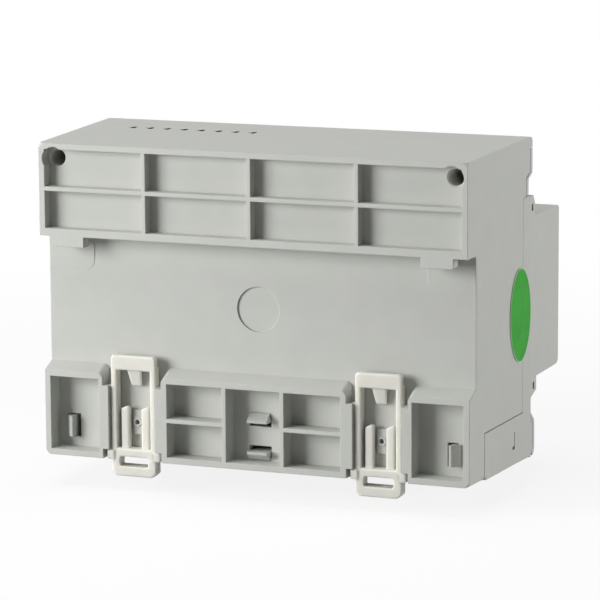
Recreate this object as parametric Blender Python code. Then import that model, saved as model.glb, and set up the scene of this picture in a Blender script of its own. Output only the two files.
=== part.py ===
"""Seven-module energy meter for a 35 mm DIN rail, as separate named parts at their real size.

X is the width, with +X to the right of someone who faces the display. -Y is the front, +Y the
rail side and +Z up. The origin is the middle of the flat face that sits on the rail.
"""

import math

import bmesh
import bpy
from mathutils import Matrix

MM = 0.001

# Driving dimensions of the case
WIDTH = 126.0 * MM
HEIGHT = 89.0 * MM
DEPTH = 74.0 * MM
NOSE_HEIGHT = 45.0 * MM
SEAM_DEPTH = 35.6 * MM
UPPER_STEP = 6.4 * MM
LOWER_STEP = 4.7 * MM
SIDE_DRAFT = 0.027
END_DRAFT = 0.025
WALL = 1.8 * MM
FLOOR_WALL = 2.0 * MM
GAP = 0.3 * MM
CORNER_ROUND = 1.3 * MM
TOP_ROUND = 1.8 * MM
TOP_PROUD = 1.0 * MM
NOSE_ROUND = (2.5 * MM, 1.2 * MM)

# The rail channel
RAIL_HEIGHT = 35.0 * MM
RAIL_SLACK_TOP = 0.4 * MM
RAIL_SLACK_BOTTOM = 0.25 * MM
LEDGE_DROP = 2.0 * MM
LEDGE_ROUND = 1.5 * MM
HOOK_INSET = 9.8 * MM
HOOK_WIDTH = 9.1 * MM
HOOK_REACH = 2.8 * MM
HOOK_GAP = 2.8 * MM
HOOK_ROUND = 0.8 * MM

# Pockets cored out of the two rear blocks
RIM = 1.65 * MM
RIB = 1.15 * MM
UPPER_FOOT = 2.05 * MM
CENTRE_POCKET = 15.7 * MM
POCKET_MARGIN = 1.6 * MM
UPPER_POCKET_DEPTH = 3.2 * MM
LOWER_POCKET_DEPTH = 5.6 * MM

# Seams between the mouldings, measured from the nose, the seam plane and the parting plane
PARTING_SETBACK = 6.4 * MM
SKIRT_BACK = 6.5 * MM
FLANGE_SHARE = 0.266
FLANGE_PROUD = 3.5 * MM
CHIN_SHARE = 0.173
CHIN_PROUD = 5.5 * MM
SKIRT_SHARE = 0.368
COVER_THICKNESS = 1.6 * MM
UPPER_COVER_SHARE = 0.55
UPPER_COVER_INSET = 3.2 * MM
LOWER_COVER_PROUD = 4.0 * MM
LOWER_COVER_LAP = 1.5 * MM

# Sliding rail clips
CLIP_INSET = 27.3 * MM
CLIP_WIDTH = 13.1 * MM
CLIP_TOP = -14.5 * MM
CLIP_FOOT = 3.6 * MM
CLIP_FACE = 3.7 * MM
CLIP_BAR = 4.0 * MM
CLIP_RAIL = 1.55 * MM
CLIP_FLANGE = 1.5 * MM
CLIP_LOOP = 2.75 * MM
LOOP_SIDE = 2.35 * MM
LOOP_ROUND = 0.6 * MM
CLIP_SILL = 2.2 * MM
CLIP_CHANNEL = 17.5 * MM
PRONG_WIDTH = 2.2 * MM
PRONG_GAP = 3.8 * MM
PRONG_LENGTH = 12.1 * MM
PRONG_FALL = 0.9 * MM
PRONG_SLANT = 1.0 * MM
TONGUE_DROP = 4.6 * MM
TONGUE_WIDTH = 4.1 * MM
TONGUE_TAPER = 0.7
LIP_REACH = 1.75 * MM
LIP_THICKNESS = 1.4 * MM
LIP_TOP = -23.0 * MM
LIP_INSET = 3.8 * MM
DETENT_INSET = 11.2 * MM
DETENT_WIDTH = 2.6 * MM
DETENT_HEIGHT = 0.8 * MM
DETENT_LENGTH = 6.8 * MM
DETENT_RADIUS = 1.25 * MM
DETENT_HOLE = 0.7 * MM

# Housing screws in the top corners
WELL_INSET_X = 5.6 * MM
WELL_INSET_Z = 5.5 * MM
WELL_RADIUS = 2.2 * MM
WELL_WALL = 1.0 * MM
WELL_LIP = 0.35 * MM
WELL_DEPTH = 14.0 * MM
WELL_FLOOR = 2.0 * MM
WELL_RELIEF = 3.3 * MM
BOSS_RADIUS = 2.6 * MM
SCREW_RADIUS = 1.2 * MM
SCREW_LENGTH = 14.0 * MM

# Mains terminals along the bottom
POLES = 8
POLE_MARGIN = 5.4 * MM
POLE_WALL = 4.0 * MM
BLOCK_BACK = 8.0 * MM
BLOCK_SETBACK = 1.2 * MM
BLOCK_LAP = 1.1 * MM
BLOCK_SIDE_ROOM = 4.0 * MM
CAGE_DEPTH = 13.7 * MM
CAGE_LAP = 1.1 * MM
CAGE_WALL = 1.4 * MM
CAGE_SETBACK = 20.8 * MM
POCKET_FLOOR = 2.5 * MM
WIRE_WALL = 1.0 * MM
TERMINAL_SCREW_SHARE = 0.218
TERMINAL_HEAD_SHARE = 0.31
TERMINAL_HEAD_HEIGHT = 2.4 * MM
TERMINAL_SCREW_LENGTH = 8.5 * MM
BUSBAR_ROOM = 0.55 * MM
BUSBAR_THICKNESS = 1.5 * MM
BUSBAR_DROP = 2.0 * MM
PHASES = 3
CT_ROOM = 2.65 * MM
CT_BORE_ROOM = 1.05 * MM
CT_TOP_ROOM = 0.7 * MM

# Snap hooks of the terminal block that show in the rear pockets
HOOK_ARM = 1.4 * MM
HOOK_BARB = 1.2 * MM
HOOK_PROUD = 1.8 * MM
CENTRE_HOOK_WIDTH = 5.8 * MM
CENTRE_HOOK_INSETS = (0.8 * MM, 2.5 * MM)
SIDE_HOOK_INSET_X = 7.3 * MM
SIDE_HOOK_WIDTH = 5.8 * MM
SLOT_ROOM = 1.3 * MM

# Circuit boards and what they carry
BOARD = 1.6 * MM
MAIN_BOARD_SETBACK = 16.6 * MM
MAIN_BOARD_ROOM = 10.0 * MM
MAIN_BOARD_BOTTOM = -11.0 * MM
MAIN_BOARD_INSET = 3.9 * MM
POST_INSET = 5.0 * MM
POST_Z = (-6.0 * MM, 26.0 * MM)
POST_RADIUS = 2.8 * MM
BOARD_SCREW_RADIUS = 1.0 * MM
BOARD_SCREW_HEAD = 1.4 * MM
BOARD_SCREW_LENGTH = 6.0 * MM
AUX_POLES = 8
AUX_PITCH = 5.15 * MM
AUX_INSET = 14.45 * MM
AUX_WIRE_SETBACK = 9.1 * MM
AUX_SLIT_WIDTH = 2.3 * MM
AUX_SLIT_DEPTH = 0.5 * MM
AUX_HOLE_RADIUS = 0.7 * MM
AUX_HOLE_LENGTH = 2.6 * MM
AUX_HOLE_SHIFT = 0.45 * MM
AUX_FOOT = 2.65 * MM
AUX_PROUD = 0.4 * MM
AUX_SCREW_RADIUS = 1.5 * MM
AUX_SCREW_HEAD = 1.2 * MM
DISPLAY_SETBACK = 11.6 * MM
DISPLAY_ROOM_X = 5.0 * MM
DISPLAY_ROOM_Z = 3.5 * MM
DISPLAY_POST_INSET = 3.5 * MM
DISPLAY_POST_RADIUS = 2.4 * MM
TRANSFORMER_SIZE = (26.0 * MM, 17.0 * MM, 22.0 * MM)
TRANSFORMER_Z = 12.0 * MM
BATTERY_RADIUS = 7.2 * MM
BATTERY_LENGTH = 25.0 * MM
BATTERY_Z = 16.0 * MM
CONNECTOR_WIDTH = 26.0 * MM
CONNECTOR_BASE = 4.0 * MM
CONNECTOR_BODY = 5.0 * MM
CONNECTOR_PINS = 2.5 * MM
CONNECTOR_Z = 4.0 * MM

# Front panel
WINDOW_MARGIN = 16.0 * MM
CONTROL_STRIP = 34.0 * MM
WINDOW_FRAME = 9.0 * MM
WINDOW_Z = 1.5 * MM
WINDOW_LEDGE = 1.5 * MM
WINDOW_FLANGE = 1.5 * MM
LCD_THICKNESS = 2.5 * MM
BACKLIGHT_THICKNESS = 2.5 * MM
BUTTON_Z = (3.5 * MM, -8.5 * MM)
BUTTON_RADIUS = 2.8 * MM
BUTTON_FLANGE = 1.2 * MM
BUTTON_TRAVEL = 0.5 * MM
BUTTON_RECESS = 0.1 * MM
CONTROL_INSET = 19.0 * MM
SWITCH_SIZE = 6.0 * MM
SWITCH_HEIGHT = 3.1 * MM
LED_INSET = 8.0 * MM
LED_RADIUS = 1.5 * MM

# Small details of the outside
STICKER_HEIGHT = 26.0 * MM
STICKER_WIDTH = 16.0 * MM
STICKER_SHIFT = 2.1 * MM
STICKER_Z = -3.25 * MM
STICKER_THICKNESS = 0.15 * MM
STICKER_LIFT = 0.1 * MM
PAD_HEIGHT = 0.25 * MM
PAD_INSET = 14.7 * MM
PAD_BOTTOM = 8.0 * MM
PAD_ROUND = 3.0 * MM
PAD_EDGE = 0.06 * MM
MARK_RADIUS = 6.15 * MM
MARK_LINE = 0.45 * MM
MARK_DEPTH = 0.4 * MM
SLIT_WIDTH = 1.3 * MM
SLIT_HEIGHT = 2.0 * MM
SLIT_ROOMS = (2.3 * MM, 2.4 * MM)
SLIT_PROUD = (3.0 * MM, 1.2 * MM)
LATCH_DEPTH = 29.7 * MM
LATCH_INSETS = (9.6 * MM, 5.3 * MM)
LATCH_LINE = 0.4 * MM
LATCH_FOOT = 1.7 * MM

SEGMENTS = 16
BEYOND = 5.0 * MM

# Places that follow from the sizes above
PARTING_DEPTH = SEAM_DEPTH + PARTING_SETBACK
PARTING_Y = -PARTING_DEPTH
SEAM_Y = -SEAM_DEPTH
NOSE_FRONT_Y = UPPER_STEP - DEPTH
NOSE_WALL_Y = NOSE_FRONT_Y + WALL
CHANNEL_TOP = RAIL_HEIGHT / 2 + RAIL_SLACK_TOP
UPPER_FLOOR_Y = UPPER_STEP - UPPER_POCKET_DEPTH
LOWER_FLOOR_Y = LOWER_STEP - LOWER_POCKET_DEPTH
LEDGE_Z = -(RAIL_HEIGHT / 2 + RAIL_SLACK_BOTTOM)
HOOK_X = WIDTH / 2 - HOOK_INSET
UPPER_RIB_PITCH = (WIDTH / 2 - RIM) / 2
TERRACE = (HEIGHT - NOSE_HEIGHT) / 2
FLANGE_TOP = NOSE_HEIGHT / 2 + FLANGE_SHARE * TERRACE
FLANGE_FRONT = PARTING_DEPTH + FLANGE_PROUD
CHIN_BOTTOM = -(NOSE_HEIGHT / 2 + CHIN_SHARE * TERRACE)
CHIN_FRONT = PARTING_DEPTH + CHIN_PROUD
SKIRT_TOP = -(NOSE_HEIGHT / 2 + SKIRT_SHARE * TERRACE)
UPPER_COVER_BOTTOM = NOSE_HEIGHT / 2 + UPPER_COVER_SHARE * TERRACE
UPPER_COVER_TOP = HEIGHT / 2 - UPPER_COVER_INSET
LOWER_COVER_TOP = SKIRT_TOP - LOWER_COVER_LAP
LOWER_COVER_FRONT = PARTING_DEPTH + LOWER_COVER_PROUD
CLIP_X = WIDTH / 2 - CLIP_INSET
CLIP_LENGTH = HEIGHT / 2 + CLIP_TOP + CLIP_FOOT
LIP_BOTTOM = -(HEIGHT / 2 - LIP_INSET)
DETENT_Z = -(HEIGHT / 2 - DETENT_INSET)
WELL_X = WIDTH / 2 - WELL_INSET_X
WELL_Z = HEIGHT / 2 - WELL_INSET_Z
SIDE_HOOK_X = WIDTH / 2 - SIDE_HOOK_INSET_X
MAIN_BOARD_HALF = WIDTH / 2 - MAIN_BOARD_ROOM
MAIN_BOARD_TOP = HEIGHT / 2 - MAIN_BOARD_INSET
MAIN_BOARD_Y = MAIN_BOARD_SETBACK - SEAM_DEPTH
MAIN_BOARD_FACE_Y = MAIN_BOARD_Y - BOARD - GAP
POST_X = MAIN_BOARD_HALF - POST_INSET
PART_ROOM = (2 * MAIN_BOARD_HALF - TRANSFORMER_SIZE[0] - BATTERY_LENGTH - CONNECTOR_WIDTH) / 4
TRANSFORMER_X = -MAIN_BOARD_HALF + PART_ROOM + TRANSFORMER_SIZE[0] / 2
BATTERY_X = TRANSFORMER_X + TRANSFORMER_SIZE[0] / 2 + PART_ROOM + BATTERY_LENGTH / 2
CONNECTOR_X = BATTERY_X + BATTERY_LENGTH / 2 + PART_ROOM + CONNECTOR_WIDTH / 2
AUX_FIRST_X = WIDTH / 2 - AUX_INSET
AUX_BOTTOM = FLANGE_TOP + AUX_FOOT
AUX_TOP = MAIN_BOARD_TOP
AUX_FRONT = SEAM_DEPTH + AUX_PROUD
AUX_WIRE_DEPTH = SEAM_DEPTH - AUX_WIRE_SETBACK
DISPLAY_BOARD_Y = NOSE_FRONT_Y + DISPLAY_SETBACK
DISPLAY_FACE_Y = DISPLAY_BOARD_Y - BOARD - GAP
DISPLAY_HALF_X = WIDTH / 2 - DISPLAY_ROOM_X
DISPLAY_HALF_Z = NOSE_HEIGHT / 2 - DISPLAY_ROOM_Z
WINDOW_WIDTH = WIDTH - WINDOW_MARGIN - CONTROL_STRIP
WINDOW_HEIGHT = NOSE_HEIGHT - 2 * WINDOW_FRAME
WINDOW_X = WINDOW_MARGIN + WINDOW_WIDTH / 2 - WIDTH / 2
CONTROL_X = WIDTH / 2 - CONTROL_INSET
LED_Z = NOSE_HEIGHT / 2 - LED_INSET
STICKER_DEPTH = SEAM_DEPTH - STICKER_SHIFT
LATCH_TOP = -(HEIGHT / 2 - LATCH_INSETS[0])
LATCH_BOTTOM = -(HEIGHT / 2 - LATCH_INSETS[1])


def half_width(y):
    """Half the case's width at a depth: widest at the parting plane, drafted towards both ends."""
    if y >= PARTING_Y:
        return WIDTH / 2 - SIDE_DRAFT * (y - PARTING_Y)
    return WIDTH / 2 - END_DRAFT / 2 * (PARTING_Y - y)


def case_top(y):
    return HEIGHT / 2 - END_DRAFT * (y - PARTING_Y)


def case_bottom(y):
    return -case_top(y)


BLOCK_FRONT = PARTING_DEPTH - BLOCK_SETBACK
BLOCK_TOP = SKIRT_TOP + BLOCK_LAP
BLOCK_HALF = half_width(-BLOCK_FRONT) - BLOCK_SIDE_ROOM
BLOCK_BOTTOM = case_bottom(-SKIRT_BACK) + WALL - GAP
SKIRT_FLOOR = case_bottom(-SKIRT_BACK) + WALL - 2 * GAP
CENTRE_HOOK_Z = (BLOCK_TOP - CENTRE_HOOK_INSETS[0], BLOCK_BOTTOM + CENTRE_HOOK_INSETS[1])
SIDE_HOOK_Z = (BLOCK_TOP + BLOCK_BOTTOM) / 2
POLE_PITCH = (WIDTH - 2 * POLE_MARGIN) / POLES
CAGE_WIDTH = POLE_PITCH - POLE_WALL
CAGE_BACK = BLOCK_FRONT - CAGE_SETBACK
CAGE_BOTTOM = BLOCK_BOTTOM + POCKET_FLOOR + GAP
CAGE_FRONT_Y = -CAGE_BACK - CAGE_DEPTH
CAGE_HEIGHT = BLOCK_TOP - CAGE_BOTTOM - CAGE_LAP
BUSBAR_WIDTH = CAGE_WIDTH - 2 * (CAGE_WALL + BUSBAR_ROOM)
BUSBAR_TOP = MAIN_BOARD_BOTTOM - BUSBAR_DROP
BUSBAR_FRONT_Y = -CAGE_BACK - CAGE_WALL - GAP - BUSBAR_THICKNESS
CT_RADIUS = POLE_PITCH - BUSBAR_WIDTH / 2 - CT_ROOM
CT_BORE = BUSBAR_WIDTH / 2 + CT_BORE_ROOM
CT_LOW = BLOCK_TOP + GAP
CT_HEIGHT = BUSBAR_TOP - BUSBAR_WIDTH - CT_TOP_ROOM - CT_LOW
TERMINAL_SCREW_RADIUS = TERMINAL_SCREW_SHARE * CAGE_HEIGHT
TERMINAL_HEAD_RADIUS = TERMINAL_HEAD_SHARE * CAGE_HEIGHT
SCREW_TIP_Y = -(BLOCK_FRONT - GAP) + TERMINAL_SCREW_LENGTH
WIRE_RADIUS = CAGE_WIDTH / 2 - WIRE_WALL
WIRE_Y = (SCREW_TIP_Y + BUSBAR_FRONT_Y) / 2
TERMINAL_Z = CAGE_BOTTOM + CAGE_HEIGHT / 2
POLE_XS = [(pole - (POLES - 1) / 2) * POLE_PITCH for pole in range(POLES)]
AUX_XS = [AUX_FIRST_X - pole * AUX_PITCH for pole in range(AUX_POLES)]
BOARD_HOLES = [(side * POST_X, z) for side in (-1, 1) for z in POST_Z]

PLASTIC_GREY = ((0.565, 0.575, 0.540), 0.5, 0.0)
PLASTIC_WHITE = ((0.700, 0.690, 0.620), 0.45, 0.0)
COVER_GREY = ((0.540, 0.550, 0.560), 0.4, 0.0)
STICKER_GREEN = ((0.070, 0.390, 0.070), 0.35, 0.0)
WINDOW_CLEAR = ((0.800, 0.850, 0.850), 0.1, 0.0)
LCD_GREY = ((0.300, 0.340, 0.280), 0.3, 0.0)
BACKLIGHT_WHITE = ((0.850, 0.870, 0.880), 0.4, 0.0)
BOARD_GREEN = ((0.020, 0.140, 0.050), 0.4, 0.0)
BLACK_PLASTIC = ((0.020, 0.020, 0.022), 0.5, 0.0)
TERMINAL_GREY = ((0.520, 0.530, 0.500), 0.55, 0.0)
STEEL = ((0.560, 0.560, 0.550), 0.35, 1.0)
COPPER = ((0.850, 0.480, 0.330), 0.3, 1.0)
AUX_GREEN = ((0.050, 0.300, 0.120), 0.5, 0.0)
BUTTON_GREY = ((0.250, 0.260, 0.270), 0.5, 0.0)
LED_RED = ((0.600, 0.050, 0.040), 0.2, 0.0)
BATTERY_BLUE = ((0.100, 0.200, 0.450), 0.4, 0.0)
TRANSFORMER_YELLOW = ((0.620, 0.520, 0.160), 0.5, 0.0)


def clear_scene():
    for thing in list(bpy.data.objects):
        bpy.data.objects.remove(thing, do_unlink=True)


def mesh_of(bm):
    mesh = bpy.data.meshes.new("shape")
    bm.to_mesh(mesh)
    bm.free()
    return mesh


def box(low, high):
    """A block between two corners."""
    bm = bmesh.new()
    bmesh.ops.create_cube(bm, size=1.0)
    size = [high[i] - low[i] for i in range(3)]
    centre = [(high[i] + low[i]) / 2 for i in range(3)]
    bm.transform(Matrix.Translation(centre) @ Matrix.Diagonal((*size, 1.0)))
    return mesh_of(bm)


AXIS_TURN = {
    "X": Matrix(((0, 0, 1, 0), (1, 0, 0, 0), (0, 1, 0, 0), (0, 0, 0, 1))),
    "Y": Matrix(((1, 0, 0, 0), (0, 0, -1, 0), (0, 1, 0, 0), (0, 0, 0, 1))),
    "Z": Matrix.Identity(4),
}


def along(axis, centre, low, high):
    """A point halfway along a piece that runs from low to high on an axis, with its cross place."""
    middle = (low + high) / 2
    if axis == "X":
        return (middle, centre[0], centre[1])
    if axis == "Y":
        return (centre[0], middle, centre[1])
    return (centre[0], centre[1], middle)


def rod(axis, centre, radius, low, high, sides=SEGMENTS, far_radius=None):
    """A round bar or cone from low to high along an axis. centre is its place across that axis."""
    first = radius if axis != "Y" else (radius if far_radius is None else far_radius)
    last = (radius if far_radius is None else far_radius) if axis != "Y" else radius
    bm = bmesh.new()
    bmesh.ops.create_cone(
        bm, cap_ends=True, segments=sides, radius1=first, radius2=last, depth=high - low
    )
    bm.transform(Matrix.Translation(along(axis, centre, low, high)) @ AXIS_TURN[axis])
    return mesh_of(bm)


def prism(axis, outlines, low, high):
    """Flat outlines (an outer one, then any holes), filled and given a thickness along an axis.

    The outline's two numbers are Y, Z for axis X, then X, Z for axis Y, and X, Y for axis Z.
    """
    curve = bpy.data.curves.new("outline", "CURVE")
    curve.dimensions = "2D"
    curve.fill_mode = "BOTH"
    curve.extrude = (high - low) / 2
    for outline in outlines:
        spline = curve.splines.new("POLY")
        spline.points.add(len(outline) - 1)
        for point, (u, v) in zip(spline.points, outline):
            point.co = (u, v, 0.0, 1.0)
        spline.use_cyclic_u = True
    holder = bpy.data.objects.new("outline", curve)
    bpy.context.scene.collection.objects.link(holder)
    graph = bpy.context.evaluated_depsgraph_get()
    mesh = bpy.data.meshes.new_from_object(holder.evaluated_get(graph))
    bpy.data.objects.remove(holder)
    bm = bmesh.new()
    bm.from_mesh(mesh)
    bmesh.ops.remove_doubles(bm, verts=bm.verts, dist=1e-6)
    middle = (low + high) / 2
    shift = {"X": (middle, 0, 0), "Y": (0, middle, 0), "Z": (0, 0, middle)}[axis]
    bm.transform(Matrix.Translation(shift) @ AXIS_TURN[axis])
    bmesh.ops.recalc_face_normals(bm, faces=bm.faces)
    if bm.calc_volume(signed=True) < 0.0:
        bmesh.ops.reverse_faces(bm, faces=bm.faces)
    return mesh_of(bm)


def circle(centre, radius, sides):
    turns = [2 * math.pi * i / sides for i in range(sides)]
    return [(centre[0] + radius * math.cos(t), centre[1] + radius * math.sin(t)) for t in turns]


def arc(centre, radius, start, end, steps=6):
    """Points along part of a circle, from one angle to another in degrees."""
    turns = [math.radians(start + (end - start) * i / steps) for i in range(steps + 1)]
    return [(centre[0] + radius * math.cos(t), centre[1] + radius * math.sin(t)) for t in turns]


def rectangle(low, high):
    return [(low[0], low[1]), (high[0], low[1]), (high[0], high[1]), (low[0], high[1])]


def soft_rectangle(low, high, radius):
    """A rectangle with rounded corners, anticlockwise from its lower right one."""
    corners = [
        ((high[0] - radius, low[1] + radius), -90),
        ((high[0] - radius, high[1] - radius), 0),
        ((low[0] + radius, high[1] - radius), 90),
        ((low[0] + radius, low[1] + radius), 180),
    ]
    return [p for centre, turn in corners for p in arc(centre, radius, turn, turn + 90, 3)]


def ring(axis, centre, radius, bore, low, high, sides=SEGMENTS):
    return prism(axis, [circle(centre, radius, sides), circle(centre, bore, sides)], low, high)


def drafted(outline, inset=0.0):
    """A side outline carried across the case, its ends following the drafted sides."""
    bm = bmesh.new()
    bm.from_mesh(prism("X", [outline], -WIDTH / 2, WIDTH / 2))
    everything = [*bm.verts, *bm.edges, *bm.faces]
    bmesh.ops.bisect_plane(
        bm, geom=everything, plane_co=(0.0, PARTING_Y, 0.0), plane_no=(0.0, 1.0, 0.0), dist=1e-7
    )
    for vertex in bm.verts:
        side = math.copysign(1.0, vertex.co.x)
        vertex.co.x = side * (half_width(vertex.co.y) - inset)
    return mesh_of(bm)


def rounded(mesh, radius, chosen, segments=2):
    """Rounds the edges for which chosen(edge) is true."""
    bm = bmesh.new()
    bm.from_mesh(mesh)
    edges = [edge for edge in bm.edges if chosen(edge)]
    bmesh.ops.bevel(
        bm, geom=edges, offset=radius, segments=segments, profile=0.5, affect="EDGES"
    )
    return mesh_of(bm)


def is_sharp(edge):
    return len(edge.link_faces) == 2 and edge.calc_face_angle(0.0) > math.radians(60)


def case_corner(edge):
    """True for an edge that runs from front to back along a top or bottom corner of the case."""
    a, b = (vertex.co for vertex in edge.verts)
    at_side = all(abs(abs(p.x) - half_width(p.y)) < GAP / 2 for p in (a, b))
    level = all(abs(abs(p.z) - case_top(p.y)) < GAP / 2 for p in (a, b))
    return at_side and level and is_sharp(edge) and abs(a.y - b.y) > TOP_ROUND


def shaped(base, add=(), cut=()):
    """The base joined with the shapes in add, then less those in cut, as one mesh."""
    scene = bpy.context.scene.collection
    body = bpy.data.objects.new("body", base)
    scene.objects.link(body)
    helpers = [body]
    for operation, shapes in (("UNION", add), ("DIFFERENCE", cut)):
        for shape in shapes:
            tool = bpy.data.objects.new("tool", shape)
            scene.objects.link(tool)
            helpers.append(tool)
            modifier = body.modifiers.new(operation.lower(), "BOOLEAN")
            modifier.operation = operation
            modifier.solver = "EXACT"
            modifier.object = tool
    graph = bpy.context.evaluated_depsgraph_get()
    mesh = bpy.data.meshes.new_from_object(body.evaluated_get(graph))
    for helper in helpers:
        bpy.data.objects.remove(helper)
    return mesh


def make_material(name, look):
    color, roughness, metallic = look
    material = bpy.data.materials.new(name)
    material.use_nodes = True
    shader = material.node_tree.nodes["Principled BSDF"]
    shader.inputs["Base Color"].default_value = (*color, 1.0)
    shader.inputs["Roughness"].default_value = roughness
    shader.inputs["Metallic"].default_value = metallic
    material.diffuse_color = (*color, 1.0)
    return material


def place(name, mesh, look, origin=(0.0, 0.0, 0.0), smooth=False):
    """Makes a named part of a mesh, in the meter's collection, with its origin at a given point."""
    if origin != (0.0, 0.0, 0.0):
        mesh.transform(Matrix.Translation([-value for value in origin]))
    return place_copy(name, mesh, look, origin, smooth)


def place_copy(name, mesh, look, location, smooth=False):
    """Makes a named part of a mesh that is already drawn round its own origin."""
    mesh.name = name
    part = bpy.data.objects.new(name, mesh)
    part.location = location
    if not mesh.materials:
        mesh.materials.append(make_material(name, look))
    if smooth:
        mesh.shade_smooth()
        mesh.set_sharp_from_angle(angle=math.radians(35))
    else:
        mesh.shade_flat()
    bpy.data.collections["din_rail_energy_meter"].objects.link(part)
    return part


# The rear housing


def rear_outline():
    """Side outline of the rear moulding: the two rear blocks, the rail channel and the top."""
    top_front = PARTING_Y - TOP_PROUD
    top_high = case_top(top_front + TOP_ROUND)
    wall_front = top_front + 2.0 * MM
    groove = -(SEAM_DEPTH + 2.4 * MM)
    return [
        (-SKIRT_BACK, case_bottom(-SKIRT_BACK)),
        (LOWER_STEP, case_bottom(LOWER_STEP)),
        (LOWER_STEP, LEDGE_Z - LEDGE_DROP),
        (0.0, LEDGE_Z),
        (0.0, CHANNEL_TOP),
        (UPPER_STEP, CHANNEL_TOP),
        (UPPER_STEP, case_top(UPPER_STEP)),
        *arc((top_front + TOP_ROUND, top_high - TOP_ROUND), TOP_ROUND, 90, 180, 4),
        (top_front, UPPER_COVER_TOP + GAP),
        (wall_front, UPPER_COVER_TOP + GAP),
        (wall_front, UPPER_COVER_BOTTOM + GAP),
        (groove, UPPER_COVER_BOTTOM - 1.0 * MM),
        (groove, FLANGE_TOP + GAP),
        (SEAM_Y, FLANGE_TOP + GAP),
        (SEAM_Y, SKIRT_TOP),
        (-SKIRT_BACK, SKIRT_TOP),
    ]


def upper_pockets():
    """Two rows of four pockets in the upper rear block."""
    low = CHANNEL_TOP + UPPER_FOOT
    high = case_top(UPPER_STEP) - RIM
    middle = (low + high) / 2
    side = half_width(UPPER_STEP) - RIM
    edges = [-side]
    for step in (-1, 0, 1):
        edges += [step * UPPER_RIB_PITCH - RIB / 2, step * UPPER_RIB_PITCH + RIB / 2]
    edges.append(side)
    rows = ((low, middle - RIB / 2), (middle + RIB / 2, high))
    return [
        box((left, UPPER_FLOOR_Y, row[0]), (right, UPPER_STEP + BEYOND, row[1]))
        for left, right in zip(edges[0::2], edges[1::2])
        for row in rows
    ]


def lower_pockets():
    """One pocket in each end of the lower rear block, and a tall one between four in its middle."""
    high = LEDGE_Z - LEDGE_DROP - POCKET_MARGIN
    low = case_bottom(LOWER_STEP) + RIM
    middle = (low + high) / 2
    inner = CLIP_X - CLIP_CHANNEL / 2 - RIM
    outer = CLIP_X + CLIP_CHANNEL / 2 + RIB
    side = half_width(LOWER_STEP) - RIM
    start = CENTRE_POCKET / 2 + RIB
    spans = [(-CENTRE_POCKET / 2, CENTRE_POCKET / 2, low, high)]
    for x0, x1 in ((start, inner), (-inner, -start)):
        spans += [(x0, x1, low, middle - RIB / 2), (x0, x1, middle + RIB / 2, high)]
    spans += [(outer, side, low, high), (-side, -outer, low, high)]
    ends = (LOWER_FLOOR_Y, LOWER_STEP + BEYOND)
    return [box((x0, ends[0], z0), (x1, ends[1], z1)) for x0, x1, z0, z1 in spans]


def rail_hooks():
    """Two lips under the upper block that hold the rail's top flange, rounded at one corner."""
    near, far = HOOK_X - HOOK_WIDTH / 2, HOOK_X + HOOK_WIDTH / 2
    low, high = CHANNEL_TOP - HOOK_REACH, CHANNEL_TOP + RIB
    corner = arc((far - HOOK_ROUND, low + HOOK_ROUND), HOOK_ROUND, -90, 0, 3)
    outline = [(near, low), *corner, (far, high), (near, high)]
    return [
        prism("Y", [[(side * x, z) for x, z in outline]], HOOK_GAP, UPPER_STEP)
        for side in (-1, 1)
    ]


def clip_channels():
    """The two grooves that the clips slide in, open at the bottom."""
    reach = CLIP_CHANNEL / 2
    return [
        box(
            (side * CLIP_X - reach, 0.0, case_bottom(0.0) - BEYOND),
            (side * CLIP_X + reach, LOWER_STEP + BEYOND, LEDGE_Z + BEYOND),
        )
        for side in (-1, 1)
    ]


def ledge_rounds():
    """What is taken off the sloping ledge where it meets each wall of a clip's groove."""
    shapes = []
    for side in (-1, 1):
        for edge in (-1, 1):
            wall = side * CLIP_X + edge * CLIP_CHANNEL / 2
            centre = (LEDGE_ROUND, -LEDGE_ROUND)
            outline = [
                *arc(centre, LEDGE_ROUND, 180, 90),
                (LEDGE_ROUND, BEYOND / 4),
                (-BEYOND / 4, BEYOND / 4),
                (-BEYOND / 4, -LEDGE_ROUND),
            ]
            outline = [(wall + edge * x, LEDGE_Z + z) for x, z in outline]
            mesh = prism("Y", [outline], 0.0, LOWER_STEP + BEYOND / 4)
            for vertex in mesh.vertices:
                vertex.co.z -= LEDGE_DROP * vertex.co.y / LOWER_STEP
            shapes.append(mesh)
    return shapes


def clip_guides():
    """The overhanging lips beside each groove, and the detent plate on its floor."""
    shapes = []
    for side in (-1, 1):
        for edge in (-1, 1):
            wall = side * CLIP_X + edge * CLIP_CHANNEL / 2
            tip = wall - edge * LIP_REACH
            root = wall + edge * RIB / 2
            shapes.append(
                box(
                    (min(tip, root), LOWER_STEP - LIP_THICKNESS, LIP_BOTTOM),
                    (max(tip, root), LOWER_STEP, LIP_TOP),
                )
            )
        half = DETENT_WIDTH / 2
        low = (side * CLIP_X - half, -FLOOR_WALL / 2, DETENT_Z - DETENT_LENGTH / 2)
        shapes.append(box(low, (side * CLIP_X + half, DETENT_HEIGHT, DETENT_Z + DETENT_LENGTH / 2)))
        centre = (side * CLIP_X, DETENT_Z)
        shapes.append(rod("Y", centre, DETENT_RADIUS, -FLOOR_WALL / 2, DETENT_HEIGHT + GAP, 20))
    return shapes


def detent_holes():
    return [
        rod("Y", (side * CLIP_X, DETENT_Z), DETENT_HOLE, -FLOOR_WALL / 2, BEYOND, 12)
        for side in (-1, 1)
    ]


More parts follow.
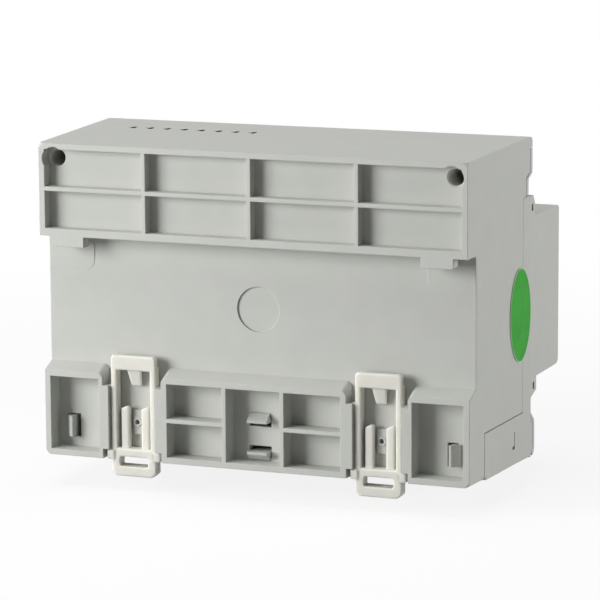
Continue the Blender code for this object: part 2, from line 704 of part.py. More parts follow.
def corner_wells():
    """Tubes for the housing screws in the top corners: what is added and what is bored out."""
    tubes = []
    bores = []
    outer = WELL_RADIUS + WELL_WALL
    mouth = UPPER_FLOOR_Y
    for side in (-1, 1):
        centre = (side * WELL_X, WELL_Z)
        tubes.append(rod("Y", centre, outer, -(WELL_DEPTH + WELL_FLOOR), mouth - FLOOR_WALL / 2))
        bores.append(rod("Y", centre, WELL_RADIUS, -WELL_DEPTH, UPPER_STEP + BEYOND, 24))
        cone = (WELL_RADIUS, mouth - WELL_LIP, mouth + WELL_LIP, 24, WELL_RADIUS + 2 * WELL_LIP)
        bores.append(rod("Y", centre, *cone))
        bores.append(rod("Y", centre, SCREW_RADIUS + GAP, -WELL_DEPTH - BEYOND, 0.0, 12))
    return tubes, bores


def floor_pads():
    """Low raised pads on the channel floor below the hooks, each with one rounded corner."""
    near = WIDTH / 2 - PAD_INSET
    far = half_width(0.0) - PAD_EDGE
    corner = arc((near + PAD_ROUND, PAD_BOTTOM + PAD_ROUND), PAD_ROUND, 180, 270)
    outline = [*corner, (far, PAD_BOTTOM), (far, CHANNEL_TOP + RIB), (near, CHANNEL_TOP + RIB)]
    return [
        prism("Y", [[(side * x, z) for x, z in outline]], -FLOOR_WALL / 2, PAD_HEIGHT)
        for side in (-1, 1)
    ]


def well_reliefs():
    """Round reliefs in the corners of the upper block, wide enough for a screwdriver."""
    return [
        rod("Y", (side * WELL_X, WELL_Z), WELL_RELIEF, UPPER_FLOOR_Y, UPPER_STEP + BEYOND, 28)
        for side in (-1, 1)
    ]


def board_posts():
    """Posts that the main board is screwed to, and their blind holes."""
    end = MAIN_BOARD_Y + GAP
    root = {POST_Z[0]: -FLOOR_WALL / 2, POST_Z[1]: UPPER_FLOOR_Y - FLOOR_WALL / 2}
    posts = [rod("Y", at, POST_RADIUS, end, root[at[1]]) for at in BOARD_HOLES]
    reach = end + BOARD_SCREW_LENGTH
    radius = BOARD_SCREW_RADIUS + GAP
    holes = [rod("Y", at, radius, end - BEYOND, reach, 12) for at in BOARD_HOLES]
    return posts, holes


def hook_slots():
    """Slots in the rear wall that the terminal block's snap hooks come through."""
    half = CENTRE_HOOK_WIDTH / 2 + GAP
    slots = []
    for z, room in zip(CENTRE_HOOK_Z, (-1, 1)):
        near = z - room * (HOOK_ARM / 2 + GAP)
        far = z + room * (HOOK_ARM / 2 + SLOT_ROOM)
        low = (-half, -FLOOR_WALL - BEYOND, min(near, far))
        slots.append(box(low, (half, HOOK_GAP, max(near, far))))
    reach = SIDE_HOOK_WIDTH / 2 + GAP
    for side in (-1, 1):
        ends = [
            side * (SIDE_HOOK_X + HOOK_ARM / 2 + GAP),
            side * (SIDE_HOOK_X - HOOK_ARM / 2 - SLOT_ROOM),
        ]
        low = (min(ends), -FLOOR_WALL - BEYOND, SIDE_HOOK_Z - reach)
        high = (max(ends), HOOK_GAP, SIDE_HOOK_Z + reach)
        slots.append(box(low, high))
    return slots


def aux_wire_holes():
    """Small openings in the top for the auxiliary wires, each an oblong hole with a slit."""
    y = -AUX_WIRE_DEPTH
    half = AUX_SLIT_WIDTH / 2
    deep = AUX_SLIT_DEPTH / 2
    ends = AUX_HOLE_LENGTH / 2 - AUX_HOLE_RADIUS
    low = case_top(y) - WALL - BEYOND
    high = case_top(y) + BEYOND
    holes = []
    for x in AUX_XS:
        middle = x - AUX_HOLE_SHIFT
        slit = box((middle, y - deep, low), (x + half, y + deep, high))
        outline = [
            *arc((middle, y + ends), AUX_HOLE_RADIUS, 0, 180),
            *arc((middle, y - ends), AUX_HOLE_RADIUS, 180, 360),
        ]
        holes += [slit, prism("Z", [outline], low, high)]
    return holes


def rear_housing():
    shell = rounded(drafted(rear_outline()), CORNER_ROUND, case_corner)
    front = -PARTING_DEPTH - 2 * BEYOND
    high = case_top(0.0) - WALL + GAP
    cavity = [
        (front, case_bottom(0.0) + WALL),
        (LOWER_FLOOR_Y - FLOOR_WALL, case_bottom(0.0) + WALL),
        (LOWER_FLOOR_Y - FLOOR_WALL, LEDGE_Z - LEDGE_DROP),
        (-FLOOR_WALL, LEDGE_Z - LEDGE_DROP + FLOOR_WALL),
        (-FLOOR_WALL, CHANNEL_TOP + UPPER_FOOT),
        (UPPER_FLOOR_Y - FLOOR_WALL, CHANNEL_TOP + UPPER_FOOT + FLOOR_WALL),
        (UPPER_FLOOR_Y - FLOOR_WALL, high),
        (front, high),
    ]
    wells, well_bores = corner_wells()
    posts, post_holes = board_posts()
    inner = MARK_RADIUS - MARK_LINE
    mark = ring("Y", (0.0, 0.0), MARK_RADIUS, inner, -MARK_DEPTH, MARK_DEPTH, 40)
    pockets = [*upper_pockets(), *lower_pockets(), *well_reliefs()]
    cuts = [drafted(cavity, WALL), *clip_channels(), *ledge_rounds(), *pockets]
    hollow = shaped(shell, cut=cuts)
    mesh = shaped(
        hollow,
        add=[*rail_hooks(), *floor_pads(), *clip_guides(), *wells, *posts],
        cut=[
            *well_bores,
            *post_holes,
            *hook_slots(),
            *aux_wire_holes(),
            *detent_holes(),
            mark,
        ],
    )
    place("rear_housing", mesh, PLASTIC_GREY)


# The front housing


def front_outline():
    """Side outline of the front moulding: flange, nose, chin and the skirt round the terminals."""
    half_nose = NOSE_HEIGHT / 2
    skirt_front = -(LOWER_COVER_FRONT - COVER_THICKNESS - GAP)
    chin = -(PARTING_DEPTH + 0.5 * MM)
    back = SEAM_Y - GAP
    corner = arc((1.0, 1.0), 1.0, 270, 180, 3)
    corner = [(NOSE_ROUND[0] * y, NOSE_ROUND[1] * z) for y, z in corner]
    return [
        (back, FLANGE_TOP),
        (-(FLANGE_FRONT - 1.7 * MM), FLANGE_TOP - 0.15 * MM),
        (-FLANGE_FRONT, FLANGE_TOP - 2.5 * MM),
        (-FLANGE_FRONT, half_nose),
        *[(NOSE_FRONT_Y + y, half_nose - z) for y, z in corner],
        *[(NOSE_FRONT_Y + y, z - half_nose) for y, z in reversed(corner)],
        (-CHIN_FRONT, -half_nose),
        (-CHIN_FRONT, CHIN_BOTTOM),
        (chin - 0.6 * MM, CHIN_BOTTOM - 1.3 * MM),
        (chin, CHIN_BOTTOM - 1.6 * MM),
        (chin, LOWER_COVER_TOP - 1.2 * MM),
        (skirt_front, LOWER_COVER_TOP - 3.1 * MM),
        (skirt_front, case_bottom(skirt_front) + 2.2 * MM),
        (chin, case_bottom(chin) + 0.5 * MM),
        (chin, case_bottom(chin)),
        (-SKIRT_BACK - GAP, case_bottom(-SKIRT_BACK)),
        (-SKIRT_BACK - GAP, SKIRT_TOP - GAP),
        (back, SKIRT_TOP - GAP),
    ]


def front_cavity():
    """The hollow behind the front moulding's walls, open towards the back."""
    half_nose = NOSE_HEIGHT / 2 - WALL
    flange_back = -FLANGE_FRONT + WALL
    chin_back = -CHIN_FRONT + WALL
    chin_top = CHIN_BOTTOM + WALL
    apron_back = -BLOCK_FRONT - GAP
    open_front = -CHIN_FRONT - BEYOND
    outline = [
        (NOSE_WALL_Y, half_nose),
        (flange_back, half_nose),
        (flange_back, FLANGE_TOP - WALL),
        (SEAM_Y + BEYOND, FLANGE_TOP - WALL),
        (SEAM_Y + BEYOND, chin_top),
        (BEYOND, chin_top),
        (BEYOND, SKIRT_FLOOR),
        (open_front, SKIRT_FLOOR),
        (open_front, LOWER_COVER_TOP),
        (apron_back, LOWER_COVER_TOP),
        (apron_back, chin_top),
        (chin_back, chin_top),
        (chin_back, -half_nose),
        (NOSE_WALL_Y, -half_nose),
    ]
    return drafted(outline, WALL)


def screw_deck():
    """The wall in front of the auxiliary terminals, with the two bosses for the housing screws."""
    half = half_width(SEAM_Y) - WALL - 2 * GAP
    back = SEAM_Y - 2 * GAP
    front = back - WALL + GAP
    high = case_top(0.0) - WALL - GAP
    deck = box((-half, front, FLANGE_TOP - WALL / 2), (half, back, high))
    boss_end = -(WELL_DEPTH + WELL_FLOOR) - GAP
    bosses = []
    bores = []
    for side in (-1, 1):
        centre = (side * WELL_X, WELL_Z)
        bosses.append(rod("Y", centre, BOSS_RADIUS, (front + back) / 2, boss_end))
        tip = -(WELL_DEPTH - GAP) - SCREW_LENGTH - 2 * GAP
        bores.append(rod("Y", centre, SCREW_RADIUS + GAP, tip, boss_end + BEYOND, 12))
    room = AUX_PITCH / 2 + 4 * GAP
    window = box(
        (AUX_XS[-1] - room, front - BEYOND, AUX_BOTTOM - GAP),
        (AUX_XS[0] + room, back + BEYOND, AUX_TOP + GAP),
    )
    return [deck, *bosses], [*bores, window]


def front_openings():
    """Openings in the nose for the window, the buttons and the lamp, and wire holes underneath."""
    out = NOSE_FRONT_Y - BEYOND
    inside = NOSE_WALL_Y + WALL
    half = (WINDOW_WIDTH / 2, WINDOW_HEIGHT / 2)
    low = (WINDOW_X - half[0], out, WINDOW_Z - half[1])
    cuts = [
        box(low, (WINDOW_X + half[0], inside, WINDOW_Z + half[1])),
        rod("Y", (CONTROL_X, LED_Z), LED_RADIUS + GAP, out, inside, 12),
    ]
    cuts += [rod("Y", (CONTROL_X, z), BUTTON_RADIUS + GAP, out, inside, 20) for z in BUTTON_Z]
    low, high = SKIRT_FLOOR - 2 * BEYOND, SKIRT_FLOOR + BEYOND
    cuts += [rod("Z", (x, WIRE_Y), WIRE_RADIUS, low, high) for x in POLE_XS]
    return cuts


def side_cuts():
    """The sealing slits and the latch slots in both side walls."""
    inner = WIDTH / 2 - 2 * WALL
    outer = WIDTH / 2 + BEYOND
    spans = []
    for turn, room, proud in zip((-1, 1), SLIT_ROOMS, SLIT_PROUD):
        z = turn * (NOSE_HEIGHT / 2 + room)
        spans.append((PARTING_Y - proud, z, SLIT_WIDTH, SLIT_HEIGHT))
    middle = (LATCH_TOP + LATCH_BOTTOM) / 2
    spans.append((-LATCH_DEPTH, middle, LATCH_LINE, LATCH_TOP - LATCH_BOTTOM))
    foot = -LATCH_DEPTH + (LATCH_FOOT - LATCH_LINE) / 2
    spans.append((foot, LATCH_BOTTOM, LATCH_FOOT, LATCH_LINE * 2))
    cuts = []
    for side in (-1, 1):
        x = sorted((side * inner, side * outer))
        for y, z, across, tall in spans:
            low = (x[0], y - across / 2, z - tall / 2)
            cuts.append(box(low, (x[1], y + across / 2, z + tall / 2)))
    return cuts


def front_housing():
    shell = rounded(drafted(front_outline()), CORNER_ROUND, case_corner)
    added, bored = screw_deck()
    post_x = DISPLAY_HALF_X - DISPLAY_POST_INSET
    post_z = DISPLAY_HALF_Z - DISPLAY_POST_INSET
    corners = [(sx * post_x, sz * post_z) for sx in (-1, 1) for sz in (-1, 1)]
    start = NOSE_WALL_Y - WALL / 2
    posts = [rod("Y", at, DISPLAY_POST_RADIUS, start, DISPLAY_FACE_Y, 12) for at in corners]
    hollow = shaped(shell, cut=[front_cavity()])
    mesh = shaped(hollow, add=[*added, *posts], cut=[*bored, *front_openings(), *side_cuts()])
    place("front_housing", mesh, PLASTIC_GREY)


# The two terminal covers


def upper_terminal_cover():
    """A bent strip over the auxiliary terminals, with a finger groove along its foot."""
    front = PARTING_Y - TOP_PROUD
    back = front + 2.0 * MM - GAP
    groove = -(SEAM_DEPTH + 2.4 * MM) - GAP
    outline = [
        (groove, FLANGE_TOP + 2 * GAP),
        (groove - COVER_THICKNESS, FLANGE_TOP + 2 * GAP),
        (groove - COVER_THICKNESS, UPPER_COVER_BOTTOM - 1.5 * MM),
        (front, UPPER_COVER_BOTTOM),
        (front, UPPER_COVER_TOP),
        (back, UPPER_COVER_TOP),
        (back, UPPER_COVER_BOTTOM + GAP / 2),
        (groove, UPPER_COVER_BOTTOM - 1.0 * MM - GAP),
    ]
    place("upper_terminal_cover", drafted(outline), COVER_GREY)


def lower_terminal_cover():
    """A curved strip over the mains terminals, with an arm back along each side."""
    front = -LOWER_COVER_FRONT
    back = front + COVER_THICKNESS
    low = case_bottom(back)
    lean = -(PARTING_DEPTH + 0.5 * MM) - GAP
    outline = [
        (lean, LOWER_COVER_TOP),
        (front + 0.4 * MM, LOWER_COVER_TOP - 2.2 * MM),
        (front, LOWER_COVER_TOP - 3.4 * MM),
        (front, low + 1.9 * MM),
        (front + 0.8 * MM, low + 0.8 * MM),
        (lean - 1.2 * MM, low + 0.3 * MM),
        (lean - 0.7 * MM, low + 1.1 * MM),
        (back, low + 2.4 * MM),
        (back, LOWER_COVER_TOP - 3.1 * MM),
        (lean, LOWER_COVER_TOP - 1.2 * MM),
    ]
    end = -LATCH_DEPTH + LATCH_FOOT
    outer = half_width(end) - WALL - GAP
    inner = BLOCK_HALF + GAP
    arms = []
    for side in (-1, 1):
        x = sorted((side * outer, side * inner))
        low_corner = (x[0], back - COVER_THICKNESS / 2, LATCH_BOTTOM + GAP)
        arms.append(box(low_corner, (x[1], end, LATCH_TOP - GAP)))
    place("lower_terminal_cover", shaped(drafted(outline), add=arms), COVER_GREY)


# The rail clips


def clip_mesh():
    """One sliding clip, drawn round the middle of its groove with its top at height 0."""
    half = CLIP_WIDTH / 2
    cut = 1.2 * MM
    window = half - CLIP_RAIL
    eye = half - LOOP_SIDE
    bottom = -CLIP_LENGTH
    bar = CLIP_LOOP
    loop_top = bottom + bar + CLIP_LOOP
    sill = loop_top + CLIP_SILL
    outline = [
        (-half, bottom + cut),
        (-half + cut, bottom),
        (half - cut, bottom),
        (half, bottom + cut),
        (half, -cut / 2),
        (half - cut / 2, 0.0),
        (-half + cut / 2, 0.0),
        (-half, -cut / 2),
    ]
    windows = [
        rectangle((-window, sill), (window, -CLIP_BAR)),
        soft_rectangle((-eye, bottom + bar), (eye, loop_top), LOOP_ROUND),
    ]
    frame = prism("Y", [outline, *windows], GAP, CLIP_FACE)
    lip_under = LOWER_STEP - LIP_THICKNESS - GAP
    flange = half + CLIP_FLANGE
    ear_top = LIP_BOTTOM - CLIP_TOP - GAP
    body_bottom = case_bottom(0.0) - CLIP_TOP
    added = []
    for side in (-1, 1):
        x = sorted((side * (half - CLIP_RAIL / 2), side * flange))
        added.append(box((x[0], GAP, body_bottom), (x[1], lip_under, LIP_TOP - CLIP_TOP)))
        x = sorted((side * (half - CLIP_RAIL / 2), side * (flange - GAP / 2)))
        added.append(box((x[0], GAP, body_bottom), (x[1], LOWER_STEP - LIP_THICKNESS / 2, ear_top)))
        near = side * PRONG_GAP / 2
        far = side * (PRONG_GAP / 2 + PRONG_WIDTH)
        prong_top = sill + PRONG_LENGTH
        prong = [
            (GAP, sill - bar / 2),
            (lip_under - GAP, sill - bar / 2),
            (lip_under - GAP, prong_top),
            (GAP, prong_top - PRONG_FALL),
        ]
        mesh = prism("X", [prong], min(near, far), max(near, far))
        for vertex in mesh.vertices:
            if vertex.co.z > sill and vertex.co.x > (near + far) / 2:
                vertex.co.z -= PRONG_SLANT
        added.append(mesh)
    tongue = [
        (CLIP_FACE - 0.4 * MM, -CLIP_BAR + 0.5 * MM),
        (CLIP_FACE - 1.8 * MM, -CLIP_BAR + 0.5 * MM),
        (GAP, -CLIP_BAR - TONGUE_DROP),
        (GAP + 1.1 * MM, -CLIP_BAR - TONGUE_DROP),
    ]
    mesh = prism("X", [tongue], -TONGUE_WIDTH / 2, TONGUE_WIDTH / 2)
    for vertex in mesh.vertices:
        if vertex.co.z < -CLIP_BAR - TONGUE_DROP / 2:
            vertex.co.x *= TONGUE_TAPER
    added.append(mesh)
    grip = [
        (-GAP, bottom + 0.8 * MM),
        (CLIP_FACE / 2, bottom + 0.3 * MM),
        (CLIP_FACE / 2, bottom + bar - 0.1 * MM),
        (-GAP, bottom + bar - 0.1 * MM),
    ]
    added.append(prism("X", [grip], -half + cut, half - cut))
    seat = CLIP_TOP + RAIL_HEIGHT / 2 + RAIL_SLACK_BOTTOM
    notch = box((-half - BEYOND, -BEYOND, -seat), (half + BEYOND, 1.6 * MM, BEYOND))
    return shaped(frame, add=added, cut=[notch])


def rail_clips():
    """The two clips, hung so that each origin lies on its slide's axis."""
    mesh = clip_mesh()
    for name, side in (("rail_clip_right", 1), ("rail_clip_left", -1)):
        place_copy(name, mesh.copy(), PLASTIC_WHITE, (side * CLIP_X, 0.0, CLIP_TOP))


# Terminals


def snap_hooks():
    """The terminal block's four hooks: two in the middle and one near each end."""
    start = -BLOCK_BACK - WALL
    half = HOOK_ARM / 2
    catch = LOWER_FLOOR_Y + GAP
    hooks = []
    for z, barb in zip(CENTRE_HOOK_Z, (1, -1)):
        outline = [
            (start, z - barb * half),
            (HOOK_PROUD, z - barb * half),
            (HOOK_PROUD, z),
            (catch, z + barb * (half + HOOK_BARB)),
            (catch, z + barb * half),
            (start, z + barb * half),
        ]
        hooks.append(prism("X", [outline], -CENTRE_HOOK_WIDTH / 2, CENTRE_HOOK_WIDTH / 2))
    low = SIDE_HOOK_Z - SIDE_HOOK_WIDTH / 2
    high = SIDE_HOOK_Z + SIDE_HOOK_WIDTH / 2
    for side in (-1, 1):
        across = [
            (SIDE_HOOK_X - half, start),
            (SIDE_HOOK_X - half, HOOK_PROUD),
            (SIDE_HOOK_X, HOOK_PROUD),
            (SIDE_HOOK_X + half + HOOK_BARB, catch),
            (SIDE_HOOK_X + half, catch),
            (SIDE_HOOK_X + half, start),
        ]
        hooks.append(prism("Z", [[(side * x, y) for x, y in across]], low, high))
    return hooks


def lower_terminal_block():
    """The moulding with one open-topped pocket, wire hole and screwdriver hole to each pole."""
    block = box((-BLOCK_HALF, -BLOCK_FRONT, BLOCK_BOTTOM), (BLOCK_HALF, -BLOCK_BACK, BLOCK_TOP))
    half = CAGE_WIDTH / 2 + GAP
    cuts = []
    for x in POLE_XS:
        low = (x - half, CAGE_FRONT_Y - GAP, CAGE_BOTTOM - GAP)
        cuts.append(box(low, (x + half, -CAGE_BACK + GAP, BLOCK_TOP + BEYOND)))
        cuts.append(rod("Z", (x, WIRE_Y), WIRE_RADIUS, BLOCK_BOTTOM - BEYOND, CAGE_BOTTOM))
        radius = TERMINAL_HEAD_RADIUS + GAP
        cuts.append(rod("Y", (x, TERMINAL_Z), radius, -BLOCK_FRONT - BEYOND, CAGE_FRONT_Y))
    place("lower_terminal_block", shaped(block, add=snap_hooks(), cut=cuts), TERMINAL_GREY)


def terminal_cages():
    """Eight wire clamps: a steel ring that the wire goes up through, with a screw hole in front."""
    half = CAGE_WIDTH / 2
    deep = CAGE_DEPTH / 2
    outer = rectangle((-half, -deep), (half, deep))
    low = (-half + CAGE_WALL, -deep + CAGE_WALL)
    inner = rectangle(low, (half - CAGE_WALL, deep - CAGE_WALL))
    body = prism("Z", [outer, inner], -CAGE_HEIGHT / 2, CAGE_HEIGHT / 2)
    radius = TERMINAL_SCREW_RADIUS + GAP
    hole = rod("Y", (0.0, 0.0), radius, -deep - BEYOND, -deep + 2 * CAGE_WALL, 12)
    mesh = shaped(body, cut=[hole])
    for index, x in enumerate(POLE_XS, start=1):
        at = (x, -CAGE_BACK - deep, TERMINAL_Z)
        place_copy(f"terminal_cage_{index}", mesh.copy(), STEEL, at)


def slotted_screw(head_radius, head_height, radius, length, sides=SEGMENTS):
    """A screw that points along +Y, with its head's face at 0 and a driver slot across it."""
    head = rod("Y", (0.0, 0.0), head_radius, 0.0, head_height, sides)
    shank = rod("Y", (0.0, 0.0), radius, head_height / 2, length, 12)
    slot = box(
        (-head_radius - BEYOND, -BEYOND, -head_radius / 8),
        (head_radius + BEYOND, head_height / 3, head_radius / 8),
    )
    return shaped(head, add=[shank], cut=[slot])


def terminal_screws():
    mesh = slotted_screw(
        TERMINAL_HEAD_RADIUS, TERMINAL_HEAD_HEIGHT, TERMINAL_SCREW_RADIUS, TERMINAL_SCREW_LENGTH
    )
    for index, x in enumerate(POLE_XS, start=1):
        at = (x, -BLOCK_FRONT + GAP, TERMINAL_Z)
        place_copy(f"terminal_screw_{index}", mesh.copy(), STEEL, at, smooth=True)


def busbars():
    """Four copper bridges, each from an incoming terminal over to its outgoing one."""
    half = BUSBAR_WIDTH / 2
    bottom = CAGE_BOTTOM + GAP
    names = ("busbar_l1", "busbar_l2", "busbar_l3", "busbar_n")
    for index, name in enumerate(names):
        left, right = POLE_XS[2 * index], POLE_XS[2 * index + 1]
        inner_top = BUSBAR_TOP - BUSBAR_WIDTH
        outline = [
            (left - half, bottom),
            (left + half, bottom),
            (left + half, inner_top),
            (right - half, inner_top),
            (right - half, bottom),
            (right + half, bottom),
            (right + half, BUSBAR_TOP),
            (left - half, BUSBAR_TOP),
        ]
        mesh = prism("Y", [outline], BUSBAR_FRONT_Y, BUSBAR_FRONT_Y + BUSBAR_THICKNESS)
        place(name, mesh, COPPER)


def current_transformers():
    """A ring round the incoming leg of each phase, standing on the terminal block."""
    low, high = CT_LOW, CT_LOW + CT_HEIGHT
    y = BUSBAR_FRONT_Y + BUSBAR_THICKNESS / 2
    for index in range(PHASES):
        centre = (POLE_XS[2 * index], y)
        mesh = ring("Z", centre, CT_RADIUS, CT_BORE, low, high, 28)
        mesh = rounded(mesh, CT_HEIGHT / 10, rim_edge, 1)
        place(f"current_transformer_{index + 1}", mesh, BLACK_PLASTIC, smooth=True)


def rim_edge(edge):
    """True for an edge that lies in the top or bottom face of a standing ring."""
    a, b = (vertex.co for vertex in edge.verts)
    return is_sharp(edge) and abs(a.z - b.z) < CT_HEIGHT / 100


# Boards and electronics


def main_board():
    low = (-MAIN_BOARD_HALF, MAIN_BOARD_Y - BOARD, MAIN_BOARD_BOTTOM)
    board = box(low, (MAIN_BOARD_HALF, MAIN_BOARD_Y, MAIN_BOARD_TOP))
    radius = BOARD_SCREW_RADIUS + GAP
    ends = (MAIN_BOARD_Y - BEYOND, MAIN_BOARD_Y + BEYOND)
    holes = [rod("Y", at, radius, *ends, 12) for at in BOARD_HOLES]
    place("main_board", shaped(board, cut=holes), BOARD_GREEN)


def board_screws():
    head = BOARD_SCREW_HEAD
    radius = BOARD_SCREW_RADIUS
    mesh = slotted_screw(2.2 * radius, head, radius, head + BOARD_SCREW_LENGTH, 12)
    for index, (x, z) in enumerate(BOARD_HOLES, start=1):
        at = (x, MAIN_BOARD_FACE_Y - head, z)
        place_copy(f"board_screw_{index}", mesh.copy(), STEEL, at, smooth=True)


def aux_terminals():
    """The eight-way terminal strip on the main board, and its clamp screws."""
    room = AUX_PITCH / 2 + GAP
    low = (AUX_XS[-1] - room, -AUX_FRONT, AUX_BOTTOM)
    strip = box(low, (AUX_XS[0] + room, MAIN_BOARD_FACE_Y, AUX_TOP))
    middle = (AUX_BOTTOM + AUX_TOP) / 2
    cuts = []
    radius = AUX_SCREW_RADIUS
    for x in AUX_XS:
        at = (x - AUX_HOLE_SHIFT, -AUX_WIRE_DEPTH)
        cuts.append(rod("Z", at, AUX_HOLE_RADIUS, middle, AUX_TOP + BEYOND, 14))
        at = (x - AUX_HOLE_SHIFT, middle)
        cuts.append(rod("Y", at, radius + GAP, -AUX_FRONT - BEYOND, -AUX_WIRE_DEPTH, 12))
    place("aux_terminal_block", shaped(strip, cut=cuts), AUX_GREEN)
    length = AUX_FRONT - AUX_WIRE_DEPTH - AUX_HOLE_RADIUS - 4 * GAP
    mesh = slotted_screw(radius, AUX_SCREW_HEAD, radius * 0.7, length, 12)
    for index, x in enumerate(AUX_XS, start=1):
        at = (x - AUX_HOLE_SHIFT, -AUX_FRONT + 2 * GAP, middle)
        place_copy(f"aux_screw_{index}", mesh.copy(), STEEL, at, smooth=True)


def supply_transformer():
    """Laminated core with its winding bulging out on two sides, soldered to the main board."""
    wide, deep, tall = TRANSFORMER_SIZE
    x, z = TRANSFORMER_X, TRANSFORMER_Z
    back = MAIN_BOARD_FACE_Y
    core = box((x - wide / 2, back - deep, z - tall / 3), (x + wide / 2, back, z + tall / 3))
    low = (x - wide / 4, back - deep * 0.9, z - tall / 2)
    coil = box(low, (x + wide / 4, back - deep * 0.1, z + tall / 2))
    place("supply_transformer", shaped(core, add=[coil]), TRANSFORMER_YELLOW)


def backup_battery():
    """A lithium cell that lies along the main board."""
    y = MAIN_BOARD_FACE_Y - BATTERY_RADIUS
    half = BATTERY_LENGTH / 2
    x = BATTERY_X
    can = rod("X", (y, BATTERY_Z), BATTERY_RADIUS, x - half, x + half, 24)
    tip_radius = BATTERY_RADIUS / 3
    tip = rod("X", (y, BATTERY_Z), tip_radius, x + half - BEYOND / 2, x + half + BOARD / 2, 12)
    place("backup_battery", shaped(can, add=[tip]), BATTERY_BLUE, smooth=True)


def board_connector():
    """The tall pin header that joins the two boards."""
    back = MAIN_BOARD_FACE_Y
    front = DISPLAY_BOARD_Y + GAP
    base = CONNECTOR_BASE
    wide, slim = CONNECTOR_BODY / 2, CONNECTOR_PINS / 2
    outline = [
        (back, -wide),
        (back, wide),
        (back - base, wide),
        (back - base, slim),
        (front + base, slim),
        (front + base, wide),
        (front, wide),
        (front, -wide),
        (front + base, -wide),
        (front + base, -slim),
        (back - base, -slim),
        (back - base, -wide),
    ]
    outline = [(y, CONNECTOR_Z + z) for y, z in outline]
    half = CONNECTOR_WIDTH / 2
    mesh = prism("X", [outline], CONNECTOR_X - half, CONNECTOR_X + half)
    place("board_connector", mesh, BLACK_PLASTIC)


def display_stack():
    """Display board, backlight, glass and clear window, one in front of the other."""
    low = (-DISPLAY_HALF_X, DISPLAY_BOARD_Y - BOARD, -DISPLAY_HALF_Z)
    board = box(low, (DISPLAY_HALF_X, DISPLAY_BOARD_Y, DISPLAY_HALF_Z))
    place("display_board", board, BOARD_GREEN)
    wide = WINDOW_WIDTH / 2
    high = WINDOW_HEIGHT / 2
    light_front = DISPLAY_FACE_Y - BACKLIGHT_THICKNESS
    low = (WINDOW_X - wide, light_front, WINDOW_Z - high)
    light = box(low, (WINDOW_X + wide, DISPLAY_FACE_Y, WINDOW_Z + high))
    place("lcd_backlight", light, BACKLIGHT_WHITE)
    lcd_back = light_front - GAP
    low = (WINDOW_X - wide, lcd_back - LCD_THICKNESS, WINDOW_Z - high)
    place("lcd_panel", box(low, (WINDOW_X + wide, lcd_back, WINDOW_Z + high)), LCD_GREY)
    pane = box(
        (WINDOW_X - wide + GAP, NOSE_FRONT_Y + GAP, WINDOW_Z - high + GAP),
        (WINDOW_X + wide - GAP, NOSE_WALL_Y + 2 * GAP, WINDOW_Z + high - GAP),
    )
    wide += WINDOW_LEDGE
    high += WINDOW_LEDGE
    edge = box(
        (WINDOW_X - wide, NOSE_WALL_Y + GAP, WINDOW_Z - high),
        (WINDOW_X + wide, NOSE_WALL_Y + WINDOW_FLANGE, WINDOW_Z + high),
    )
    place("display_window", shaped(pane, add=[edge]), WINDOW_CLEAR)


def push_buttons():
    """Two buttons that press small switches on the display board."""
    face = NOSE_FRONT_Y + BUTTON_RECESS
    collar = NOSE_WALL_Y + GAP
    switch_top = DISPLAY_FACE_Y - SWITCH_HEIGHT
    stem_end = switch_top - BUTTON_TRAVEL - BUTTON_RECESS
    half = SWITCH_SIZE / 2
    for index, z in enumerate(BUTTON_Z, start=1):
        centre = (CONTROL_X, z)
        cap = rod("Y", centre, BUTTON_RADIUS, face, collar + GAP, 20)
        flange = rod("Y", centre, BUTTON_RADIUS + BUTTON_FLANGE, collar, collar + 1.0 * MM, 20)
        stem = rod("Y", centre, BUTTON_RADIUS / 2, collar, stem_end, 12)
        button = shaped(cap, add=[flange, stem])
        place(f"push_button_{index}", button, BUTTON_GREY, (CONTROL_X, face, z), smooth=True)
        low = (CONTROL_X - half, switch_top, z - half)
        switch = box(low, (CONTROL_X + half, DISPLAY_FACE_Y, z + half))
        place(f"tact_switch_{index}", switch, BLACK_PLASTIC)


def pulse_led():
    """The lamp that blinks with the energy used, standing on the display board."""
    centre = (CONTROL_X, LED_Z)
    body = rod("Y", centre, LED_RADIUS, NOSE_FRONT_Y + 1.0 * MM, DISPLAY_FACE_Y, 12)
    tip = rod("Y", centre, LED_RADIUS * 0.6, NOSE_FRONT_Y + GAP, NOSE_FRONT_Y + 1.5 * MM, 12)
    base = rod("Y", centre, LED_RADIUS * 1.3, DISPLAY_FACE_Y - 1.0 * MM, DISPLAY_FACE_Y, 12)
    place("pulse_led", shaped(body, add=[tip, base]), LED_RED, smooth=True)


def housing_screws():
    """The two long screws that pull the rear and front mouldings together."""
    head = 2.0 * MM
    mesh = slotted_screw(WELL_RADIUS - GAP, head, SCREW_RADIUS, head + SCREW_LENGTH)
    mesh.transform(Matrix.Rotation(math.pi, 4, "Z"))
    for name, side in (("housing_screw_right", 1), ("housing_screw_left", -1)):
        at = (side * WELL_X, -WELL_DEPTH + GAP + head, WELL_Z)
        place_copy(name, mesh.copy(), STEEL, at, smooth=True)


def inspection_sticker():
    """An oval paper seal stuck over the seam on the left side."""
    sides = 36
    turns = [2 * math.pi * i / sides for i in range(sides)]
    oval = [
        (
            -STICKER_DEPTH + STICKER_WIDTH / 2 * math.cos(t),
            STICKER_Z + STICKER_HEIGHT / 2 * math.sin(t),
        )
        for t in turns
    ]
    mesh = prism("X", [oval], -STICKER_THICKNESS / 2, STICKER_THICKNESS / 2)
    for vertex in mesh.vertices:
        lift = STICKER_LIFT + STICKER_THICKNESS / 2 - vertex.co.x
        vertex.co.x = -(half_width(vertex.co.y) + lift)
    place("inspection_sticker", mesh, STICKER_GREEN)


